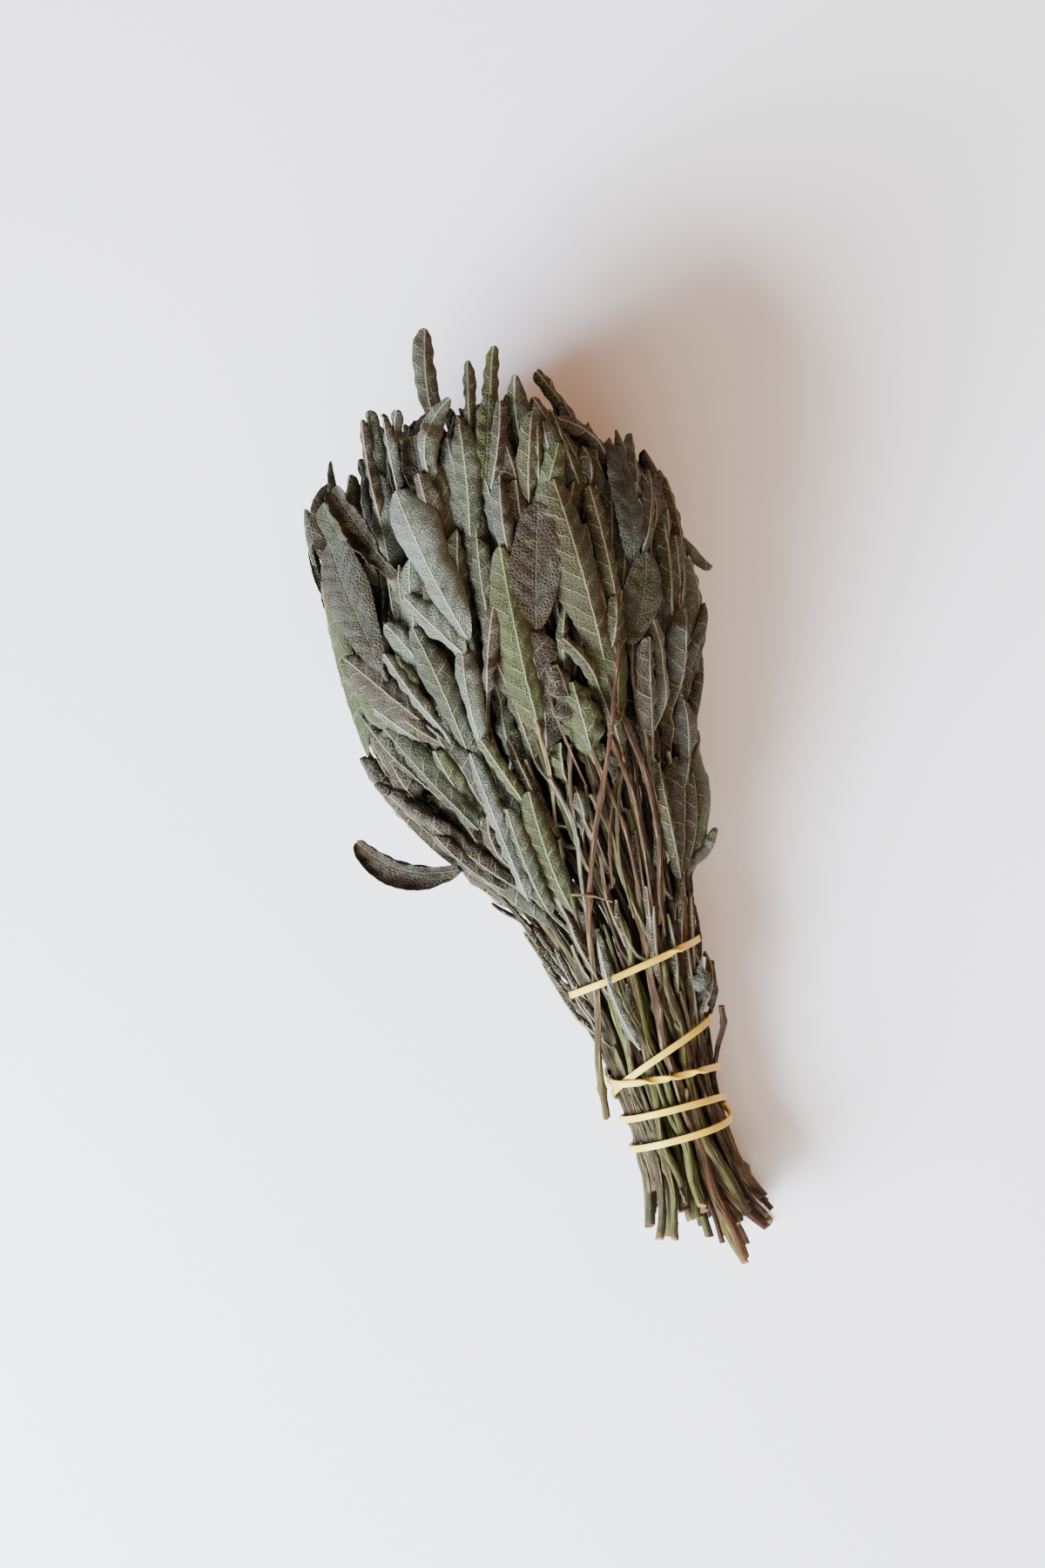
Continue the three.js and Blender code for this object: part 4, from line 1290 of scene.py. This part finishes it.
def withered_leaf_shape(sprig, rng):
    """A narrow dead leaf that clings to a stem below the living ones."""
    start = rng.uniform(44, max(50, sprig.first_leaf - 12))
    length = rng.uniform(12, 26)
    spacing = 2 * math.pi / sprig.ring.count
    beside = sprig.angle + rng.choice([-0.5, 0.5]) * spacing
    base = place(0.86, beside, start + 3)
    tip = place(0.92, beside + rng.uniform(-0.3, 0.3) * spacing, start + length)
    return LeafShape(
        stem_point(sprig, start), np.array([0.0, 1.0, 0.0]), base, tip,
        outwards_at(beside, start + length / 2), rng.uniform(1.8, 3.4),
        tone=str(rng.choice(["brown", "umber", "grey", "olive"])), roll=rng.uniform(-60, 60),
        twist=rng.uniform(-90, 90), curl=(170, 190), fold=40, bulge=0.3, sway=rng.uniform(-1, 1),
        crumple=1.0, brown=0.6, shade=0.75, rows=26, columns=11, seed=int(rng.integers(1 << 30)))


# ---- Operators ----

class SAGE_OT_stems(bpy.types.Operator):
    """Make every sprig's square stem"""
    bl_idname = "sage.stems"
    bl_label = "Stems"

    def execute(self, context):
        sizes = context.scene.sage_sizes
        material = stem_material()
        every = sprigs()
        twigs = {sprig.name: [] for sprig in every}
        for seed, twig in enumerate(TWIGS):
            twigs[nearest_outer(every, *twig.route[-1]).name].append(twig_surface(twig, 300 + seed))
        for sprig in every:
            rng = np.random.default_rng(700 + sprig.number)
            across = stem_point(sprig, sprig.cut)[0] + ORIGIN[0]
            shorter = np.interp(across, CUT_PLACES, CUT_SHORTER)
            cut = sprig.cut - 3 * chance(sprig.number, 16) + shorter
            along = np.arange(cut, sprig.top, 1.8)
            tones = STEM_TONES["right" if math.cos(sprig.angle) > 0.1 else "left"]
            tone = tones[sprig.number * 7 % len(tones)]
            nodes = np.arange(rng.uniform(8, 20), sprig.top, rng.uniform(12, 25))
            radius = sizes.stem_diameter / MM / 2 * stem_width(sprig)
            surface = stem_surface(stem_point(sprig, along), radius, tone, sprig.number, nodes)
            surface = joined([surface, *shoots(sprig, rng), *twigs[sprig.name]])
            make_piece(f"{sprig.name}_stem", surface, material, sprig.name)
        make_piece("front_sprig_stem", front_stem_surface(sizes), material, "front_sprig")
        return {"FINISHED"}


def nearest_outer(every, across, along, level):
    """The outer sprig nearest to a place on the upper side."""
    _, angle = upper_point(across, along, level)
    outer = [sprig for sprig in every if sprig.ring.name == "outer"]
    return min(outer, key=lambda s: abs(math.remainder(s.angle - angle, 2 * math.pi)))


# The front sprig's route: share, angle in degrees and distance along.
FRONT_ROUTE = [(1.30, 164, 32), (1.20, 148, 45), (1.05, 130, 58), (1.03, 118, 68),
               (1.12, 104, 80), (1.10, 84, 98), (1.09, 70, 116), (1.08, 62, 137)]


def smooth_route(points, steps):
    """A Catmull-Rom curve through points, each stretch between two of them a cubic."""
    points = np.asarray(points, float)
    padded = np.concatenate([2 * points[:1] - points[1:2], points, 2 * points[-1:] - points[-2:-1]])
    t = np.linspace(0, len(points) - 1, steps)
    i = np.minimum(t.astype(int), len(points) - 2)
    f = (t - i)[:, None]
    a, b, c, d = padded[i], padded[i + 1], padded[i + 2], padded[i + 3]
    return 0.5 * (2 * b + (c - a) * f + (2 * a - 5 * b + 4 * c - d) * f ** 2
                  + (3 * b - a - 3 * c + d) * f ** 3)


def front_stem_centres():
    """The front sprig's centre line."""
    route = [place(share, math.radians(angle), along) for share, angle, along in FRONT_ROUTE]
    return smooth_route(route, 70)


def front_stem_surface(sizes):
    """The front sprig's stem, which is cut short beside the lower bands."""
    return stem_surface(front_stem_centres(), sizes.stem_diameter / MM / 2 * 0.80,
                        FRONT_STEM_TONES, 91, [7, 33, 58, 84], change=36.0)


class SAGE_OT_leaves(bpy.types.Operator):
    """Make the leaves of every sprig"""
    bl_idname = "sage.leaves"
    bl_label = "Leaves"

    def execute(self, context):
        sizes = context.scene.sage_sizes
        material = leaf_material(context.scene.sage_colours)
        thickness = sizes.leaf_thickness / MM
        every = sprigs()
        grown = {sprig.name: [] for sprig in every}
        for sprig in every:
            rng = np.random.default_rng(100 + sprig.number)
            grown[sprig.name] = [grown_leaf_shape(sprig, node, side, sizes, rng)
                                 for node in range(sprig.ring.pairs) for side in (-1, 1)]
            if sprig.ring.name == "outer":
                grown[sprig.name] += [withered_leaf_shape(sprig, rng) for _ in range(3)]
        # Inner rings are laid first, and in each ring the top's leaves before the neck's.
        order = [(RINGS.index(sprig.ring), -shape.base[1], sprig.name, shape)
                 for sprig in every for shape in grown[sprig.name]]
        order.sort(key=lambda entry: entry[:2])
        heap = Heap()
        laid = {sprig.name: [] for sprig in every}
        for _, _, name, shape in order:
            laid[name].append(leaf_surface(shape, thickness, heap))
        for seed, leaf in enumerate(FRONT_LEAVES):
            sprig = nearest_outer(every, *leaf.base, FRONT_LEVEL)
            root = stem_point(sprig, leaf.base[1] - 9)
            direction = unit(stem_point(sprig, leaf.base[1] - 4) - root)
            shape = front_leaf_shape(leaf, root, direction, heap, 5000 + seed)
            tucked = leaf.more.get("level", 1.0) < TUCKED_LEVEL
            laid[sprig.name].append(leaf_surface(shape, thickness, None if tucked else heap))
        for sprig in every:
            make_piece(f"{sprig.name}_leaves", joined(laid[sprig.name]), material,
                       sprig.name)
        centres = front_stem_centres()
        own = []
        for seed, (spot, leaf) in enumerate(FRONT_SPRIG_LEAVES):
            direction = unit(centres[spot + 1] - centres[spot])
            shape = front_leaf_shape(leaf, centres[spot], direction, heap, 7000 + seed)
            own.append(leaf_surface(shape, thickness, heap))
        make_piece("front_sprig_leaves", joined(own), material, "front_sprig")
        return {"FINISHED"}


class SAGE_OT_bands(bpy.types.Operator):
    """Make the three rubber bands"""
    bl_idname = "sage.bands"
    bl_label = "Rubber Bands"

    def execute(self, context):
        sizes = context.scene.sage_sizes
        width, thickness = sizes.band_width / MM, sizes.band_thickness / MM
        material = rubber_material(context.scene.sage_colours)
        over = thickness + 1.2 * BAND_GAP
        crossed, lower = BANDS["crossed_band"], BANDS["lower_band"]
        lifts = {
            "neck_band": lambda a: 0.5 + hump(a, FRONT_ANGLE, FRONT_HALF_ANGLE,
                                              2 * (STEM_RADIUS + BAND_GAP)),
            "crossed_band": lambda a: hump(a, crossed.crossing + 2 * np.pi, CROSSING_HALF_ANGLE,
                                           over),
            "lower_band": lambda a: hump(a, lower.crossing, CROSSING_HALF_ANGLE, over),
        }
        for name, band in BANDS.items():
            surface = band_surface(band, width, thickness, lifts[name], BAND_TWISTS[name])
            make_piece(f"{name}_strip", surface, material, name, math.radians(80))
        return {"FINISHED"}


TABLE_SIZE = 10.0                # m
VIEW_SIZE = 0.36                 # the longer side of what the camera sees, m
VIEW_LEVEL = 0.03                # m above the table, where that is measured
VIEW_MIDDLE = (-0.0098, 0.0024)  # m
VIEW_TURN = -15                  # degrees


class SAGE_OT_stage(bpy.types.Operator):
    """Make the table, the lights and the camera"""
    bl_idname = "sage.stage"
    bl_label = "Stage"

    def execute(self, context):
        scene = context.scene
        far = TABLE_SIZE / 2
        mesh = bpy.data.meshes.new("table")
        mesh.from_pydata([(-far, -far, 0), (far, -far, 0), (far, far, 0), (-far, far, 0)],
                         [], [(0, 1, 2, 3)])
        mesh.materials.append(table_material(scene.sage_colours))
        table = bpy.data.objects.new("table", mesh)
        scene.collection.objects.link(table)

        add_area_light("window", (-0.98, -0.50, 0.64), 0.80, 128.0, linear("#E8F1FF"))
        add_area_light("ceiling", (-0.10, -0.78, 0.78), 1.0, 13.0, linear("#FFF6EC"))
        add_area_light("lamp", (0.95, 0.55, 0.90), 0.9, 13.0, linear("#FFBE90"))
        world = bpy.data.worlds.new("room")
        world.use_nodes = True
        background = world.node_tree.nodes["Background"]
        background.inputs["Color"].default_value = (*linear("#FBD6B2"), 1)
        background.inputs["Strength"].default_value = 0.16
        scene.world = world

        data = bpy.data.cameras.new("overhead")
        data.lens, data.sensor_width = 85, 36
        camera = bpy.data.objects.new("overhead", data)
        distance = VIEW_SIZE / 2 / math.tan(math.atan(data.sensor_width / 2 / data.lens))
        spot = Vector((*VIEW_MIDDLE, VIEW_LEVEL + distance))
        turn = Matrix.Rotation(math.radians(VIEW_TURN), 4, "Z")
        camera.matrix_world = Matrix.Translation(spot) @ turn
        scene.collection.objects.link(camera)
        scene.camera = camera
        return {"FINISHED"}


def add_area_light(name, spot, size, power, colour):
    """A square light that looks at the middle of the bunch."""
    data = bpy.data.lights.new(name, "AREA")
    data.shape = "SQUARE"
    data.size = size
    data.energy = power
    data.color = colour
    light = bpy.data.objects.new(name, data)
    light.location = spot
    light.rotation_euler = (Vector((0, 0, 0.02)) - Vector(spot)).to_track_quat("-Z", "Y").to_euler()
    bpy.context.scene.collection.objects.link(light)


class SAGE_PT_panel(bpy.types.Panel):
    """Lists the bunch's operators"""
    bl_idname = "SAGE_PT_panel"
    bl_label = "Sage Bunch"
    bl_space_type = "VIEW_3D"
    bl_region_type = "UI"
    bl_category = "Sage"

    def draw(self, context):
        column = self.layout.column()
        for group in (context.scene.sage_sizes, context.scene.sage_colours):
            for name in group.bl_rna.properties.keys():
                if name not in {"rna_type", "name"}:
                    column.prop(group, name)
        for operator in OPERATORS:
            column.operator(operator.bl_idname)


OPERATORS = (SAGE_OT_stems, SAGE_OT_leaves, SAGE_OT_bands, SAGE_OT_stage)
CLASSES = (BunchSizes, BunchColours, *OPERATORS, SAGE_PT_panel)


def register():
    """Registers the classes and the scene's settings."""
    for cls in CLASSES:
        bpy.utils.register_class(cls)
    bpy.types.Scene.sage_sizes = bpy.props.PointerProperty(type=BunchSizes)
    bpy.types.Scene.sage_colours = bpy.props.PointerProperty(type=BunchColours)


def unregister():
    """Takes them away again."""
    del bpy.types.Scene.sage_colours
    del bpy.types.Scene.sage_sizes
    for cls in reversed(CLASSES):
        bpy.utils.unregister_class(cls)


def main():
    """Makes the bunch and its stage."""
    register()
    bpy.ops.sage.stage()
    bpy.ops.sage.stems()
    bpy.ops.sage.leaves()
    bpy.ops.sage.bands()


if __name__ == "__main__":
    main()
